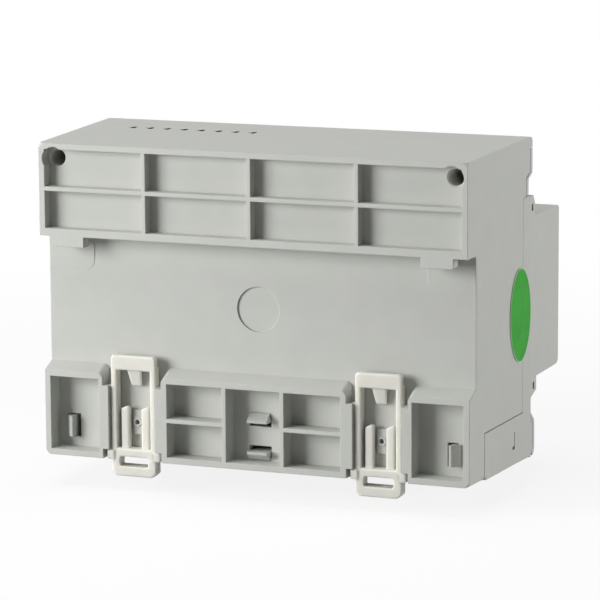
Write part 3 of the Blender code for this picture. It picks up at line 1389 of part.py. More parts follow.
def main():
    clear_scene()
    collection = bpy.data.collections.new("din_rail_energy_meter")
    bpy.context.scene.collection.children.link(collection)
    rear_housing()
    front_housing()
    upper_terminal_cover()
    lower_terminal_cover()
    rail_clips()
    lower_terminal_block()
    terminal_cages()
    terminal_screws()
    busbars()
    current_transformers()
    main_board()
    board_screws()
    aux_terminals()
    supply_transformer()
    backup_battery()
    board_connector()
    display_stack()
    push_buttons()
    pulse_led()
    housing_screws()
    inspection_sticker()


main()
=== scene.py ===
"""Looks of a seven-module energy meter for a DIN rail, seen from behind on a pale floor.

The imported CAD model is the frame. Its nodes keep their shapes or are replaced by finer copies,
each sub-assembly is a class, and each finish is a small frozen class that builds its own nodes.
All sizes are in metres and in the frame of the CAD model.
"""

import sys
import logging
import math
from dataclasses import dataclass
from enum import Enum
from typing import Any, Sequence, Union

import bmesh
import bpy
import numpy as np
from mathutils import Matrix, Vector


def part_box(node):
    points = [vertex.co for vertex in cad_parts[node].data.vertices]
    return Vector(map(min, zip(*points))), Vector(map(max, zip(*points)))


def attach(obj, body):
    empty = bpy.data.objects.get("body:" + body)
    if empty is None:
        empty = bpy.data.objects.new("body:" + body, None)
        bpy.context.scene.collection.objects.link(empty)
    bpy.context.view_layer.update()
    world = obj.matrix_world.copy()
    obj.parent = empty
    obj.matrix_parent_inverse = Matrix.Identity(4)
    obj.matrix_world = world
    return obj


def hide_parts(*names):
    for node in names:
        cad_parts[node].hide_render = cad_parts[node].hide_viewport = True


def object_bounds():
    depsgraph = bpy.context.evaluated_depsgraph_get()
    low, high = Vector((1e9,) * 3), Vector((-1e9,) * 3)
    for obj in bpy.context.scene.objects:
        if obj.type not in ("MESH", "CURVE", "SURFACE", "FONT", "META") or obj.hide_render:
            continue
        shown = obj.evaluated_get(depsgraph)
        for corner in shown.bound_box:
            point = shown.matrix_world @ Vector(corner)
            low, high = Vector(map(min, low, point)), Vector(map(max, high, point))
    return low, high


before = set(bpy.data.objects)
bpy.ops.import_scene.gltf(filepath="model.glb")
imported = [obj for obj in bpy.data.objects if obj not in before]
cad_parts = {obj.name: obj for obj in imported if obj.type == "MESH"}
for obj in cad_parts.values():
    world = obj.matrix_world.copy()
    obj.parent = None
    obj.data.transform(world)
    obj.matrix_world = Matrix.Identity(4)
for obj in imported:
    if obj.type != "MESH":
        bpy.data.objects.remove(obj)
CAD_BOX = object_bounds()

logging.basicConfig(level=logging.INFO, format="%(levelname)s %(message)s", stream=sys.stdout)
LOG = logging.getLogger("meter")

Colour = tuple[float, float, float]
Triple = tuple[float, float, float]
Number = Union[int, float, "Signal"]

MM = 0.001
POLES = 8
PHASES = 3
BOARD_SCREWS = 4
SAME_POINT = 0.001 * MM
SMOOTH_ANGLE = math.radians(38)
FLAT_ANGLE = math.radians(1)
WHITE = (1.0, 1.0, 1.0)
BLACK = (0.0, 0.0, 0.0)


class Signal:
    """A number on its way through a material. Its operators add Math nodes to the graph."""

    def __init__(self, graph: "Graph", socket: bpy.types.NodeSocket) -> None:
        """Wraps an output socket of a graph."""
        self.graph = graph
        self.socket = socket

    def math(self, operation: str, *others: Number) -> "Signal":
        """The result of a Math node whose first value is this."""
        return self.graph.math(operation, self, *others)

    def __add__(self, other: Number) -> "Signal":
        """This plus other."""
        return self.math("ADD", other)

    __radd__ = __add__

    def __mul__(self, other: Number) -> "Signal":
        """This times other."""
        return self.math("MULTIPLY", other)

    __rmul__ = __mul__

    def __sub__(self, other: Number) -> "Signal":
        """This less other."""
        return self.math("SUBTRACT", other)

    def __rsub__(self, other: Number) -> "Signal":
        """Other less this."""
        return self.graph.math("SUBTRACT", other, self)

    def __truediv__(self, other: Number) -> "Signal":
        """This over other."""
        return self.math("DIVIDE", other)

    def __abs__(self) -> "Signal":
        """The size of this, whatever its sign."""
        return self.math("ABSOLUTE")

    def __pow__(self, other: Number) -> "Signal":
        """This to a power."""
        return self.math("POWER", other)

    def above(self, limit: Number) -> "Signal":
        """1 where this is over the limit, else 0."""
        return self.math("GREATER_THAN", limit)

    def below(self, limit: Number) -> "Signal":
        """1 where this is under the limit, else 0."""
        return self.math("LESS_THAN", limit)

    def wave(self, period: float) -> "Signal":
        """A smooth wave between -1 and 1 with the given period."""
        return (self * (2 * math.pi / period)).math("SINE")

    def cell(self, period: float) -> "Signal":
        """How far this is into its current period, from 0 to 1."""
        return (self / period).math("FRACT")

    def ramp(self, low: float, high: float) -> "Signal":
        """A smooth rise from 0 to 1.

        Args:
            low: Where the rise starts.
            high: Where the rise ends.

        Returns:
            The rise, 0 below low and 1 above high.
        """
        sockets = {0: self, 1: low, 2: high}
        made = self.graph.add("ShaderNodeMapRange", {"interpolation_type": "SMOOTHSTEP"}, sockets)
        return Signal(self.graph, made.outputs[0])


class Graph:
    """The nodes of one material or of the sky."""

    def __init__(self, tree: bpy.types.NodeTree) -> None:
        """Wraps a node tree.

        Args:
            tree: The tree that nodes are added to.
        """
        self.tree = tree
        self.owner = None
        self.shader = None
        self.place = None

    @classmethod
    def material(cls, name: str) -> "Graph":
        """Starts a material that holds a Principled shader and an output.

        Args:
            name: The material's name.

        Returns:
            Its graph, with the object's coordinates at hand.
        """
        owner = bpy.data.materials.new(name)
        owner.use_nodes = True
        graph = cls(owner.node_tree)
        graph.owner = owner
        graph.shader = graph.tree.nodes["Principled BSDF"]
        graph.place = graph.add("ShaderNodeTexCoord").outputs["Object"]
        return graph

    def feed(self, target: bpy.types.NodeSocket, value: Any) -> None:
        """Links a signal or an output to an input, or writes a value on it.

        Args:
            target: The input.
            value: A Signal, an output socket, a number or a tuple.
        """
        if isinstance(value, Signal):
            self.tree.links.new(value.socket, target)
        elif isinstance(value, bpy.types.NodeSocket):
            self.tree.links.new(value, target)
        elif isinstance(value, tuple) and target.type == "RGBA" and len(value) == 3:
            target.default_value = (*value, 1.0)
        else:
            target.default_value = value

    def add(
        self,
        kind: str,
        settings: dict[str, Any] | None = None,
        sockets: dict[Any, Any] | None = None,
    ) -> bpy.types.Node:
        """Adds any node.

        Args:
            kind: Blender's type name.
            settings: Its settings, such as a Math node's operation, set before its sockets.
            sockets: Values or links of its inputs, by name or place.

        Returns:
            The node.
        """
        node = self.tree.nodes.new(kind)
        for key, value in (settings or {}).items():
            setattr(node, key, value)
        for key, value in (sockets or {}).items():
            self.feed(node.inputs[key], value)
        return node

    def math(self, operation: str, *values: Number) -> Signal:
        """The result of a new Math node."""
        node = self.add("ShaderNodeMath", {"operation": operation}, dict(enumerate(values)))
        return Signal(self, node.outputs[0])

    def noise(self, size: float, detail: float = 2.0, stretch: Triple = WHITE) -> Signal:
        """Noise over the object's coordinates.

        Args:
            size: Rough size of one patch.
            detail: How many finer octaves are added.
            stretch: How many times longer the patches are along each axis.

        Returns:
            The noise, mostly between 0.3 and 0.7.
        """
        scale = tuple(1.0 / value for value in stretch)
        place = self.add("ShaderNodeMapping", {}, {"Vector": self.place, "Scale": scale})
        sockets = {"Vector": place.outputs[0], "Scale": 1.0 / size, "Detail": detail}
        return Signal(self, self.add("ShaderNodeTexNoise", {}, sockets).outputs[0])

    def axis(self, index: int) -> Signal:
        """One of the object's coordinates: 0, 1 or 2."""
        parts = self.add("ShaderNodeSeparateXYZ", {}, {0: self.place})
        return Signal(self, parts.outputs[index])

    def shown(self) -> Signal:
        """Finds the rays that show the background.

        Returns:
            1 for rays from the camera, off a gloss or through a pane, else 0.
        """
        path = self.add("ShaderNodeLightPath").outputs
        kinds = ("Camera", "Glossy", "Transmission")
        camera, gloss, pane = (Signal(self, path[f"Is {kind} Ray"]) for kind in kinds)
        return camera.math("MAXIMUM", gloss).math("MAXIMUM", pane)

    def mix(self, factor: Number, first: Any, second: Any) -> bpy.types.NodeSocket:
        """A blend of two colours, from the first at factor 0 to the second at 1."""
        node = self.add("ShaderNodeMix", {"data_type": "RGBA"}, {0: factor, 6: first, 7: second})
        return node.outputs[2]

    def clouded(
        self, cloud: Signal, colour: Colour, low: float, high: float
    ) -> bpy.types.NodeSocket:
        """A colour that runs from low to high times itself as the noise grows."""
        return self.mix(cloud.ramp(0.3, 0.7), shade(colour, low), shade(colour, high))

    def rounded_normal(self, radius: float) -> bpy.types.NodeSocket:
        """The surface's direction with its edges rounded over by a radius."""
        return self.add("ShaderNodeBevel", {"samples": 6}, {"Radius": radius}).outputs[0]

    def edges(self, normal: bpy.types.NodeSocket) -> Signal:
        """How near a sharp edge is: 0 on flat ground, up to about 1 on the edge.

        Args:
            normal: The rounded direction.

        Returns:
            One less the cosine between the true and the rounded direction, scaled up.
        """
        true = self.add("ShaderNodeNewGeometry").outputs["Normal"]
        node = self.add("ShaderNodeVectorMath", {"operation": "DOT_PRODUCT"}, {0: true, 1: normal})
        return (1.0 - Signal(self, node.outputs["Value"])).ramp(0.02, 0.3)

    def bump(self, height: Signal, distance: float, normal: Any = None) -> None:
        """Raises the surface by a height before it reaches the shader.

        Args:
            height: The height, 0 to 1.
            distance: How high 1 stands.
            normal: The direction that the bump starts from, or nothing.
        """
        sockets = {"Height": height, "Distance": distance}
        if normal is not None:
            sockets["Normal"] = normal
        made = self.add("ShaderNodeBump", {}, sockets)
        self.feed(self.shader.inputs["Normal"], made.outputs[0])

    def surface(self, **sockets: Any) -> bpy.types.Material:
        """Feeds the Principled shader.

        Args:
            sockets: Values or links by the sockets' names, with _ for a space.

        Returns:
            The material.
        """
        for key, value in sockets.items():
            self.feed(self.shader.inputs[key.replace("_", " ")], value)
        return self.owner


def shade(colour: Colour, amount: float) -> Colour:
    """A colour made lighter or darker by a share."""
    return tuple(min(1.0, max(0.0, part * amount)) for part in colour)


@dataclass(frozen=True)
class Look:
    """What every finish has: its slot's name and its colour."""

    name: str
    colour: Colour


@dataclass(frozen=True)
class MouldedPlastic(Look):
    """Injection-moulded plastic with a fine eroded texture, faint flow marks and rubbed edges."""

    roughness: float = 0.5
    grain: float = 0.35 * MM
    cloud: float = 9 * MM
    flow: float = 5 * MM
    scuff: float = 1.1 * MM
    relief: float = 0.012 * MM
    rounding: float = 0.3 * MM
    mottle: float = 0.020
    gloss: float = 0.2
    glow: float = 0.0
    glow_depth: float = 1.8 * MM
    glow_tint: Colour = (1.0, 0.95, 0.85)

    def build(self) -> bpy.types.Material:
        """Makes the material.

        Returns:
            The material, whose colour is colour x (1 + mottle x noise), lighter along its edges.
        """
        graph = Graph.material(self.name)
        fine = graph.noise(self.grain, 3.0)
        cloud = graph.noise(self.cloud, 3.0)
        flow = graph.noise(self.flow, 2.0, (6.0, 1.0, 1.0))
        scuff = graph.noise(self.scuff, 4.0, (1.0, 1.0, 4.0)).ramp(0.62, 0.72)
        tone = cloud * 0.7 + flow * 0.3
        normal = graph.rounded_normal(self.rounding)
        worn = graph.edges(normal)
        colour = graph.clouded(tone, self.colour, 1.0 - self.mottle, 1.0 + self.mottle)
        colour = graph.mix(worn * 0.25, colour, shade(self.colour, 1.12))
        colour = graph.mix(fine.ramp(0.35, 0.65) * 0.05, colour, shade(self.colour, 0.8))
        roughness = self.roughness + (cloud - 0.5) * 0.12 - worn * 0.08 - scuff * 0.05
        graph.bump(fine * 0.8 + cloud * 0.6, self.relief, normal)
        return graph.surface(
            Base_Color=colour,
            Roughness=roughness,
            Specular_IOR_Level=self.gloss,
            IOR=1.5,
            Subsurface_Weight=self.glow,
            Subsurface_Scale=self.glow_depth,
            Subsurface_Radius=self.glow_tint,
        )


@dataclass(frozen=True)
class PlatedMetal(Look):
    """Plated steel or bare copper with drawn lines along one way and a cloudy sheen."""

    roughness: float = 0.32
    lines: Triple = (1.0, 1.0, 12.0)
    grain: float = 0.12 * MM
    cloud: float = 2.5 * MM
    relief: float = 0.006 * MM
    rounding: float = 0.12 * MM

    def build(self) -> bpy.types.Material:
        """Makes the metal.

        Returns:
            The material.
        """
        graph = Graph.material(self.name)
        drawn = graph.noise(self.grain, 2.0, self.lines)
        cloud = graph.noise(self.cloud, 3.0)
        colour = graph.clouded(cloud, self.colour, 0.86, 1.08)
        roughness = self.roughness + (drawn - 0.5) * 0.25 + (cloud - 0.5) * 0.2
        graph.bump(drawn, self.relief, graph.rounded_normal(self.rounding))
        return graph.surface(Base_Color=colour, Roughness=roughness, Metallic=1.0)


@dataclass(frozen=True)
class BoardMask(Look):
    """Solder mask over copper tracks, with a raster of plated holes."""

    track: Colour = (0.035, 0.22, 0.08)
    pad: Colour = (0.72, 0.74, 0.72)
    hole: Colour = (0.01, 0.012, 0.01)
    pitch: float = 2.54 * MM
    track_half: float = 0.17
    pad_radius: float = 0.28
    bore_radius: float = 0.13
    step_patch: float = 14 * MM
    run_patch: float = 11 * MM
    pad_patch: float = 9 * MM
    relief: float = 0.02 * MM

    def build(self) -> bpy.types.Material:
        """Makes the board: tracks are bands of a stepped wave, pads sit on a raster of circles.

        Returns:
            The material.
        """
        graph = Graph.material(self.name)
        x, z = graph.axis(0), graph.axis(2)
        step = graph.noise(self.step_patch, 0.0).ramp(0.45, 0.55) * self.pitch
        band = (x + step).cell(self.pitch)
        run = abs(band - 0.5).below(self.track_half) * graph.noise(self.run_patch, 0.0).above(0.46)
        across = abs(z.cell(self.pitch) - 0.5)
        along = abs(x.cell(self.pitch) - 0.5)
        circle = (across * across + along * along) ** 0.5
        group = graph.noise(self.pad_patch, 0.0).above(0.55)
        pad = circle.below(self.pad_radius) * group
        bore = circle.below(self.bore_radius) * group
        colour = graph.mix(run * 0.8, self.colour, self.track)
        colour = graph.mix(pad, colour, self.pad)
        colour = graph.mix(bore, colour, self.hole)
        graph.bump(run * 0.5 + pad, self.relief)
        return graph.surface(
            Base_Color=colour, Roughness=0.36 - pad * 0.08, Metallic=pad - bore, Coat_Weight=0.3
        )


@dataclass(frozen=True)
class ClearPane(Look):
    """Clear moulded pane: an even, slightly wavy face that lets the display show through."""

    alpha: float = 0.16
    dust_colour: Colour = (0.9, 0.9, 0.9)
    dust: float = 0.3 * MM
    wave: float = 6 * MM
    relief: float = 0.01 * MM

    def build(self) -> bpy.types.Material:
        """Makes the pane, see-through by its alpha, with a faint waviness.

        Returns:
            The material.
        """
        graph = Graph.material(self.name)
        dust = graph.noise(self.dust).ramp(0.66, 0.74)
        graph.bump(graph.noise(self.wave, 1.0), self.relief)
        return graph.surface(
            Base_Color=graph.mix(dust, self.colour, self.dust_colour),
            Roughness=0.05 + dust * 0.3,
            Alpha=self.alpha + dust * 0.1,
            Specular_IOR_Level=0.6,
        )


@dataclass(frozen=True)
class DisplayGlass(Look):
    """Liquid crystal glass: a grey-green, cloudy, smooth field with fine rows."""

    row_pitch: float = 0.5 * MM
    cloud: float = 12 * MM
    relief: float = 0.001 * MM

    def build(self) -> bpy.types.Material:
        """Makes the glass, with a faint raster of rows.

        Returns:
            The material.
        """
        graph = Graph.material(self.name)
        cloud = graph.noise(self.cloud)
        colour = graph.clouded(cloud, self.colour, 0.93, 1.06)
        graph.bump(graph.axis(2).wave(self.row_pitch), self.relief)
        return graph.surface(Base_Color=colour, Roughness=0.18 + (cloud - 0.5) * 0.1)


@dataclass(frozen=True)
class PaperSeal(Look):
    """Printed paper seal: satin ink over paper fibre, with a paler cut edge."""

    centre: tuple[float, float] = (-33.5 * MM, -3.25 * MM)
    size: tuple[float, float] = (16.0 * MM, 26.0 * MM)
    fibre: Colour = (0.5, 0.7, 0.45)
    paper: Colour = (0.62, 0.75, 0.58)
    gloss: float = 0.06
    grain: float = 0.5 * MM
    cloud: float = 6 * MM
    relief: float = 0.02 * MM

    def build(self) -> bpy.types.Material:
        """Makes the seal. r = sqrt((2y/width)^2 + (2z/height)^2) is 1 on its edge.

        Returns:
            The material.
        """
        graph = Graph.material(self.name)
        y = (graph.axis(1) - self.centre[0]) / (self.size[0] / 2)
        z = (graph.axis(2) - self.centre[1]) / (self.size[1] / 2)
        radius = (y * y + z * z) ** 0.5
        fibre = graph.noise(self.grain, 4.0, (1.0, 3.0, 1.0))
        cloud = graph.noise(self.cloud)
        rim = radius.ramp(0.965, 0.985)
        ink = graph.clouded(cloud, self.colour, 0.92, 1.1)
        ink = graph.mix(fibre.ramp(0.55, 0.7) * 0.07, ink, self.fibre)
        colour = graph.mix(rim * 0.8, ink, self.paper)
        graph.bump(fibre * 0.7 + cloud, self.relief)
        return graph.surface(
            Base_Color=colour, Roughness=0.42 + (fibre - 0.5) * 0.3, Specular_IOR_Level=self.gloss
        )


@dataclass(frozen=True)
class Winding(Look):
    """Tape or shrink sleeve laid in turns, with a soft ridge at each turn."""

    pitch: float = 1.2 * MM
    axis: int = 2
    roughness: float = 0.45
    cloud: float = 4 * MM
    relief: float = 0.08 * MM
    rounding: float = 0.4 * MM

    def build(self) -> bpy.types.Material:
        """Makes the wrap, whose height is |sin| of the place along its axis.

        Returns:
            The material.
        """
        graph = Graph.material(self.name)
        turn = abs(graph.axis(self.axis).wave(self.pitch * 2))
        cloud = graph.noise(self.cloud, 3.0)
        # Painted shade: the grooves between turns are coloured down to 0.6 of the colour, darkest
        # in the valleys.
        colour = graph.mix(turn.ramp(0.0, 0.35), shade(self.colour, 0.6), self.colour)
        colour = graph.mix(cloud.ramp(0.3, 0.7) * 0.3, colour, shade(self.colour, 1.2))
        graph.bump(turn, self.relief, graph.rounded_normal(self.rounding))
        return graph.surface(Base_Color=colour, Roughness=self.roughness + (cloud - 0.5) * 0.2)


class Finish(Enum):
    """Every finish on the meter, by the record's material slot."""

    PLASTIC_GREY = MouldedPlastic("plastic_grey", (0.565, 0.575, 0.54), 0.52)
    COVER_GREY = MouldedPlastic("cover_grey", (0.575, 0.585, 0.595), 0.42, relief=0.006 * MM)
    CLIP_WHITE = MouldedPlastic(
        name="clip_white",
        colour=(0.79, 0.78, 0.72),
        roughness=0.4,
        relief=0.006 * MM,
        rounding=0.5 * MM,
        gloss=0.4,
        glow=0.9,
    )
    STICKER_GREEN = PaperSeal("sticker_green", (0.032, 0.36, 0.026))
    WINDOW_CLEAR = ClearPane("window_clear", (0.8, 0.85, 0.85))
    LCD_GLASS = DisplayGlass("lcd_glass", (0.3, 0.34, 0.28))
    BACKLIGHT = MouldedPlastic("backlight", (0.85, 0.87, 0.88), 0.3, relief=0.004 * MM)
    CIRCUIT_BOARD = BoardMask("circuit_board", (0.02, 0.14, 0.05))
    BLACK_PLASTIC = MouldedPlastic("black_plastic", (0.02, 0.02, 0.022), 0.5)
    TERMINAL_GREY = MouldedPlastic("terminal_grey", (0.52, 0.53, 0.5), 0.55)
    ZINC_STEEL = PlatedMetal("zinc_steel", (0.56, 0.56, 0.55))
    COPPER = PlatedMetal("copper", (0.85, 0.48, 0.33), 0.3)
    AUX_GREEN = MouldedPlastic("aux_green", (0.05, 0.3, 0.12), 0.45)
    BUTTON_GREY = MouldedPlastic("button_grey", (0.25, 0.26, 0.27), 0.5)
    LED_RED = MouldedPlastic("led_red", (0.6, 0.05, 0.04), 0.2, relief=0.002 * MM, gloss=0.7)
    BATTERY_SLEEVE = Winding("battery_sleeve", (0.1, 0.2, 0.45), 9 * MM, 0, 0.3)
    TRANSFORMER_TAPE = Winding("transformer_tape", (0.62, 0.52, 0.16))

    def material(self) -> bpy.types.Material:
        """Builds the finish's material the first time it is asked for.

        Returns:
            The material.
        """
        found = bpy.data.materials.get("finish_" + self.value.name)
        if found is None:
            found = self.value.build()
            found.name = "finish_" + self.value.name
        return found


def dress(target: Union[str, bpy.types.Object], finish: Finish) -> None:
    """Gives a CAD node or a new piece its finish.

    Args:
        target: A node's name or an object.
        finish: The finish to use.
    """
    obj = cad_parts[target] if isinstance(target, str) else target
    obj.data.materials.clear()
    obj.data.materials.append(finish.material())
    LOG.info("%s: %s", obj.name, finish.value.name)


def dress_each(looks: dict[Finish, Sequence[str]]) -> None:
    """Gives several CAD nodes their finishes.

    Args:
        looks: The nodes' names by finish.
    """
    for finish, names in looks.items():
        for name in names:
            dress(name, finish)


def numbered(stem: str, count: int) -> list[str]:
    """The names stem_1 to stem_count."""
    return [f"{stem}_{index}" for index in range(1, count + 1)]


def skin(rings: np.ndarray, ends: bool = True) -> tuple[np.ndarray, list[list[int]]]:
    """Closes a stack of rings into a body.

    The point at row i and column j of the surface is rings[i, j]. Neighbouring rows and columns
    share a face, and the last column meets the first.

    Args:
        rings: Rows of points, as an array of rows x columns x 3.
        ends: Whether the first and last rows are filled. If not, they lie on each other.

    Returns:
        The points and the faces.
    """
    rows, columns = rings.shape[:2]
    index = np.arange(rows * columns).reshape(rows, columns)
    beside = np.roll(index, -1, axis=1)
    quads = np.stack([index[:-1], beside[:-1], beside[1:], index[1:]], axis=-1).reshape(-1, 4)
    caps = np.stack([index[0, ::-1], index[-1]])[: 2 * ends]
    return rings.reshape(-1, 3), quads.tolist() + caps.tolist()


def turned(
    profile: Sequence[tuple[float, float]], centre: Sequence[float], axis: int, sides: int = 32
) -> np.ndarray:
    """Rings of a body turned on an axis.

    The point at turn t is centre + radius x (cos t, sin t) across the axis + height along it.

    Args:
        profile: Radius and height of each ring.
        centre: Where height 0 is.
        axis: The axis' number: 0, 1 or 2.
        sides: Points round the axis.

    Returns:
        The rings.
    """
    turn = np.linspace(0.0, 2 * np.pi, sides, endpoint=False)
    radius, height = np.array(profile).T[:, :, None]
    rings = np.empty((len(profile), sides, 3))
    rings[..., (axis + 1) % 3] = radius * np.cos(turn) + centre[(axis + 1) % 3]
    rings[..., (axis + 2) % 3] = radius * np.sin(turn) + centre[(axis + 2) % 3]
    rings[..., axis] = height + centre[axis]
    return rings


def soft_corners(
    low: np.ndarray, high: np.ndarray, radius: float, reach: np.ndarray, axis: int, steps: int
) -> np.ndarray:
    """Rounded rectangles across an axis, one for each reach.

    A point at turn t is the nearest corner, drawn in by the radius, plus reach x (cos t, sin t).

    Args:
        low: The lowest corner.
        high: The highest corner.
        radius: How far the corners are drawn in.
        reach: How far each rectangle stands out from them.
        axis: The axis across which they lie.
        steps: Points of each corner.

    Returns:
        The rings, whose place along the axis is 0.
    """
    quarter = np.linspace(0.0, np.pi / 2, steps)
    turn = (quarter + np.arange(4)[:, None] * np.pi / 2).ravel()
    rings = np.zeros((len(reach), 4 * steps, 3))
    sides = ((axis + 1) % 3, np.repeat([1, 0, 0, 1], steps), np.cos(turn))
    tops = ((axis + 2) % 3, np.repeat([1, 1, 0, 0], steps), np.sin(turn))
    for way, far, wave in (sides, tops):
        middle = np.where(far, high[way] - radius, low[way] + radius)
        rings[..., way] = middle + reach[:, None] * wave
    return rings


def soft_block(
    low: Sequence[float], high: Sequence[float], radius: float, axis: int = 2, steps: int = 4
) -> np.ndarray:
    """Rings of a block with rounded edges.

    Each ring is a rounded rectangle whose reach is radius x cos a, at a height that follows
    radius x sin a at both ends, for a between 0 and a quarter turn.

    Args:
        low: The lowest corner.
        high: The highest corner.
        radius: The rounding.
        axis: The way in which the rings are stacked.
        steps: Steps of each rounding.

    Returns:
        The rings.
    """
    low, high = np.array(low), np.array(high)
    quarter = np.linspace(0.0, np.pi / 2, steps)
    climb = np.concatenate([quarter[::-1], quarter])
    rings = soft_corners(low, high, radius, radius * np.cos(climb), axis, steps)
    foot = low[axis] + radius - radius * np.sin(quarter[::-1])
    head = high[axis] - radius + radius * np.sin(quarter)
    rings[..., axis] = np.concatenate([foot, head])[:, None]
    return rings


def placed(name: str, data: bpy.types.ID) -> bpy.types.Object:
    """Puts a new object into the scene.

    Args:
        name: Its name.
        data: Its mesh, lamp or camera.

    Returns:
        The object.
    """
    obj = bpy.data.objects.new(name, data)
    bpy.context.scene.collection.objects.link(obj)
    return obj


def vectors(items: bpy.types.bpy_prop_collection, key: str) -> np.ndarray:
    """Reads one vector of each of a mesh's items.

    Args:
        items: The mesh's points or faces.
        key: Blender's name of the vector.

    Returns:
        The vectors, as rows of three.
    """
    values = np.empty(len(items) * 3)
    items.foreach_get(key, values)
    return values.reshape(-1, 3)


def meshed(form: bmesh.types.BMesh, name: str) -> bpy.types.Mesh:
    """Turns a form into a mesh and frees it.

    Args:
        form: The form.
        name: The mesh's name.

    Returns:
        The mesh.
    """
    mesh = bpy.data.meshes.new(name)
    form.to_mesh(mesh)
    form.free()
    return mesh


def settle(
    name: str,
    mesh: bpy.types.Mesh,
    finish: Finish,
    body: str,
    nodes: Sequence[str] = (),
    smooth: bool = True,
) -> bpy.types.Object:
    """Makes a finished piece of a mesh: cleaned, smoothed, dressed and tied to its body.

    Args:
        name: The piece's name.
        mesh: Its mesh, in the frame of the CAD model.
        finish: Its finish.
        body: The body that it rides on.
        nodes: CAD nodes that it stands for.
        smooth: Whether its shading runs over shallow edges.

    Returns:
        The object.
    """
    form = bmesh.new()
    form.from_mesh(mesh)
    bmesh.ops.remove_doubles(form, verts=form.verts, dist=SAME_POINT)
    bmesh.ops.dissolve_degenerate(form, edges=form.edges, dist=SAME_POINT / 10)
    bmesh.ops.recalc_face_normals(form, faces=form.faces)
    form.to_mesh(mesh)
    form.free()
    mesh.name = name
    if smooth:
        mesh.shade_smooth()
        mesh.set_sharp_from_angle(angle=SMOOTH_ANGLE)
    obj = placed(name, mesh)
    dress(obj, finish)
    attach(obj, body)
    if nodes:
        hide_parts(*nodes)
    return obj


def shape(
    name: str,
    bodies: Sequence[np.ndarray],
    finish: Finish,
    body: str,
    nodes: Sequence[str] = (),
    ends: bool = True,
) -> bpy.types.Object:
    """Makes one piece of several stacks of rings.

    Args:
        name: The piece's name.
        bodies: The stacks of rings.
        finish: Its finish.
        body: The body that it rides on.
        nodes: CAD nodes that it stands for.
        ends: Whether each stack's ends are filled.

    Returns:
        The object.
    """
    form = bmesh.new()
    for rings in bodies:
        points, faces = skin(rings, ends)
        part = bpy.data.meshes.new(name)
        part.from_pydata(points.tolist(), [], faces)
        form.from_mesh(part)
        bpy.data.meshes.remove(part)
    return settle(name, meshed(form, name), finish, body, nodes)


def merged_copy(node: str, flat: bool = False) -> bpy.types.Mesh:
    """A copy of a CAD node's mesh with its loose triangles joined.

    Args:
        node: The node's name.
        flat: Whether triangles in one plane become one face, cut again where it is hollow.

    Returns:
        The mesh.
    """
    form = bmesh.new()
    form.from_mesh(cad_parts[node].data)
    bmesh.ops.remove_doubles(form, verts=form.verts, dist=SAME_POINT)
    if flat:
        bmesh.ops.dissolve_limit(form, angle_limit=FLAT_ANGLE, verts=form.verts, edges=form.edges)
        bmesh.ops.connect_verts_concave(form, faces=form.faces)
    return meshed(form, node)


@dataclass
class Housings:
    """The two mouldings, the strips over the terminals and the seal over the seam.

    The round mark on the back is a shallow plain disc.
    """

    mark_radius: float = 5.9 * MM
    mark_depth: float = 0.4 * MM
    pad_height: float = 0.25 * MM
    pad_foot: float = 0.02 * MM
    pad_ends: tuple[float, float] = (8.0 * MM, 17.9 * MM)
    seam: float = -35.6 * MM
    seam_top: float = 28.65 * MM
    seam_closed: float = 0.22 * MM
    touch: float = 0.02 * MM
    wire_holes: tuple[float, ...] = tuple((48.1 - 5.15 * pole) * MM for pole in range(POLES))
    wire_row: float = -26.5 * MM
    hole_shift: float = 0.45 * MM
    hole_reach: tuple[float, float] = (1.3 * MM, 1.35 * MM)
    hole_foot: float = 41.9 * MM

    def shifted(self, points: np.ndarray) -> np.ndarray:
        """Lets the disc in, tapers the two pads below the hooks and narrows the seam.

        A disc point moves to y = -depth. A pad point at height z moves to
        y = foot + (height - foot) x (z - bottom) / (top - bottom). A point of the rim or
        of the step above it moves straight towards the front moulding.

        Args:
            points: The moulding's points.

        Returns:
            The moved points.
        """
        x, y, z = points.T
        disc = (np.hypot(x, z) < self.mark_radius) & (np.abs(y) < self.mark_depth / 4)
        bottom, top = self.pad_ends
        pad = (np.abs(y - self.pad_height) < self.touch) & (z > bottom - MM) & (z < top + MM)
        slope = self.pad_foot + (self.pad_height - self.pad_foot) * (z - bottom) / (top - bottom)
        moved = points.copy()
        moved[:, 1] = np.where(disc, -self.mark_depth, np.where(pad, slope, y))
        rim = np.abs(y - self.seam) < self.touch
        step = (np.abs(z - self.seam_top) < self.touch) & (y < self.seam + self.touch)
        moved[rim, 1] -= self.seam_closed
        moved[step, 2] -= self.seam_closed
        for part, hits in (("disc", disc), ("pads", pad), ("rim", rim), ("step", step)):
            LOG.info("rear moulding: %d points of the %s", hits.sum(), part)
        return moved

    def rear(self) -> None:
        """Replaces the rear moulding by a finer copy whose wire hole walls are black as painted
        shade.
        """
        mesh = merged_copy("rear_housing")
        points = self.shifted(vectors(mesh.vertices, "co"))
        mesh.vertices.foreach_set("co", points.ravel())
        obj = settle("rear_moulding", mesh, Finish.PLASTIC_GREY, "case", ["rear_housing"], False)
        # Painted shade: the faces inside the wire holes take the black finish so that the holes
        # look dark inside.
        mesh.materials.append(Finish.BLACK_PLASTIC.material())
        x, y, z = vectors(mesh.polygons, "center").T
        level = np.abs(vectors(mesh.polygons, "normal")[:, 2])
        aside = np.min(np.abs(x[:, None] - self.hole_shift - np.array(self.wire_holes)), axis=1)
        wide, deep = self.hole_reach
        painted_shade_faces = (aside < wide) & (np.abs(y - self.wire_row) < deep)
        painted_shade_faces &= (z > self.hole_foot) & (level < 0.5)
        mesh.polygons.foreach_set("material_index", painted_shade_faces.astype(np.int32))
        LOG.info("%s: %d faces line the wire holes", obj.name, painted_shade_faces.sum())

    def build(self) -> None:
        """Makes the rear moulding and dresses the rest."""
        self.rear()
        looks = {
            Finish.PLASTIC_GREY: ["front_housing"],
            Finish.COVER_GREY: ["upper_terminal_cover", "lower_terminal_cover"],
            Finish.STICKER_GREEN: ["inspection_sticker"],
        }
        dress_each(looks)


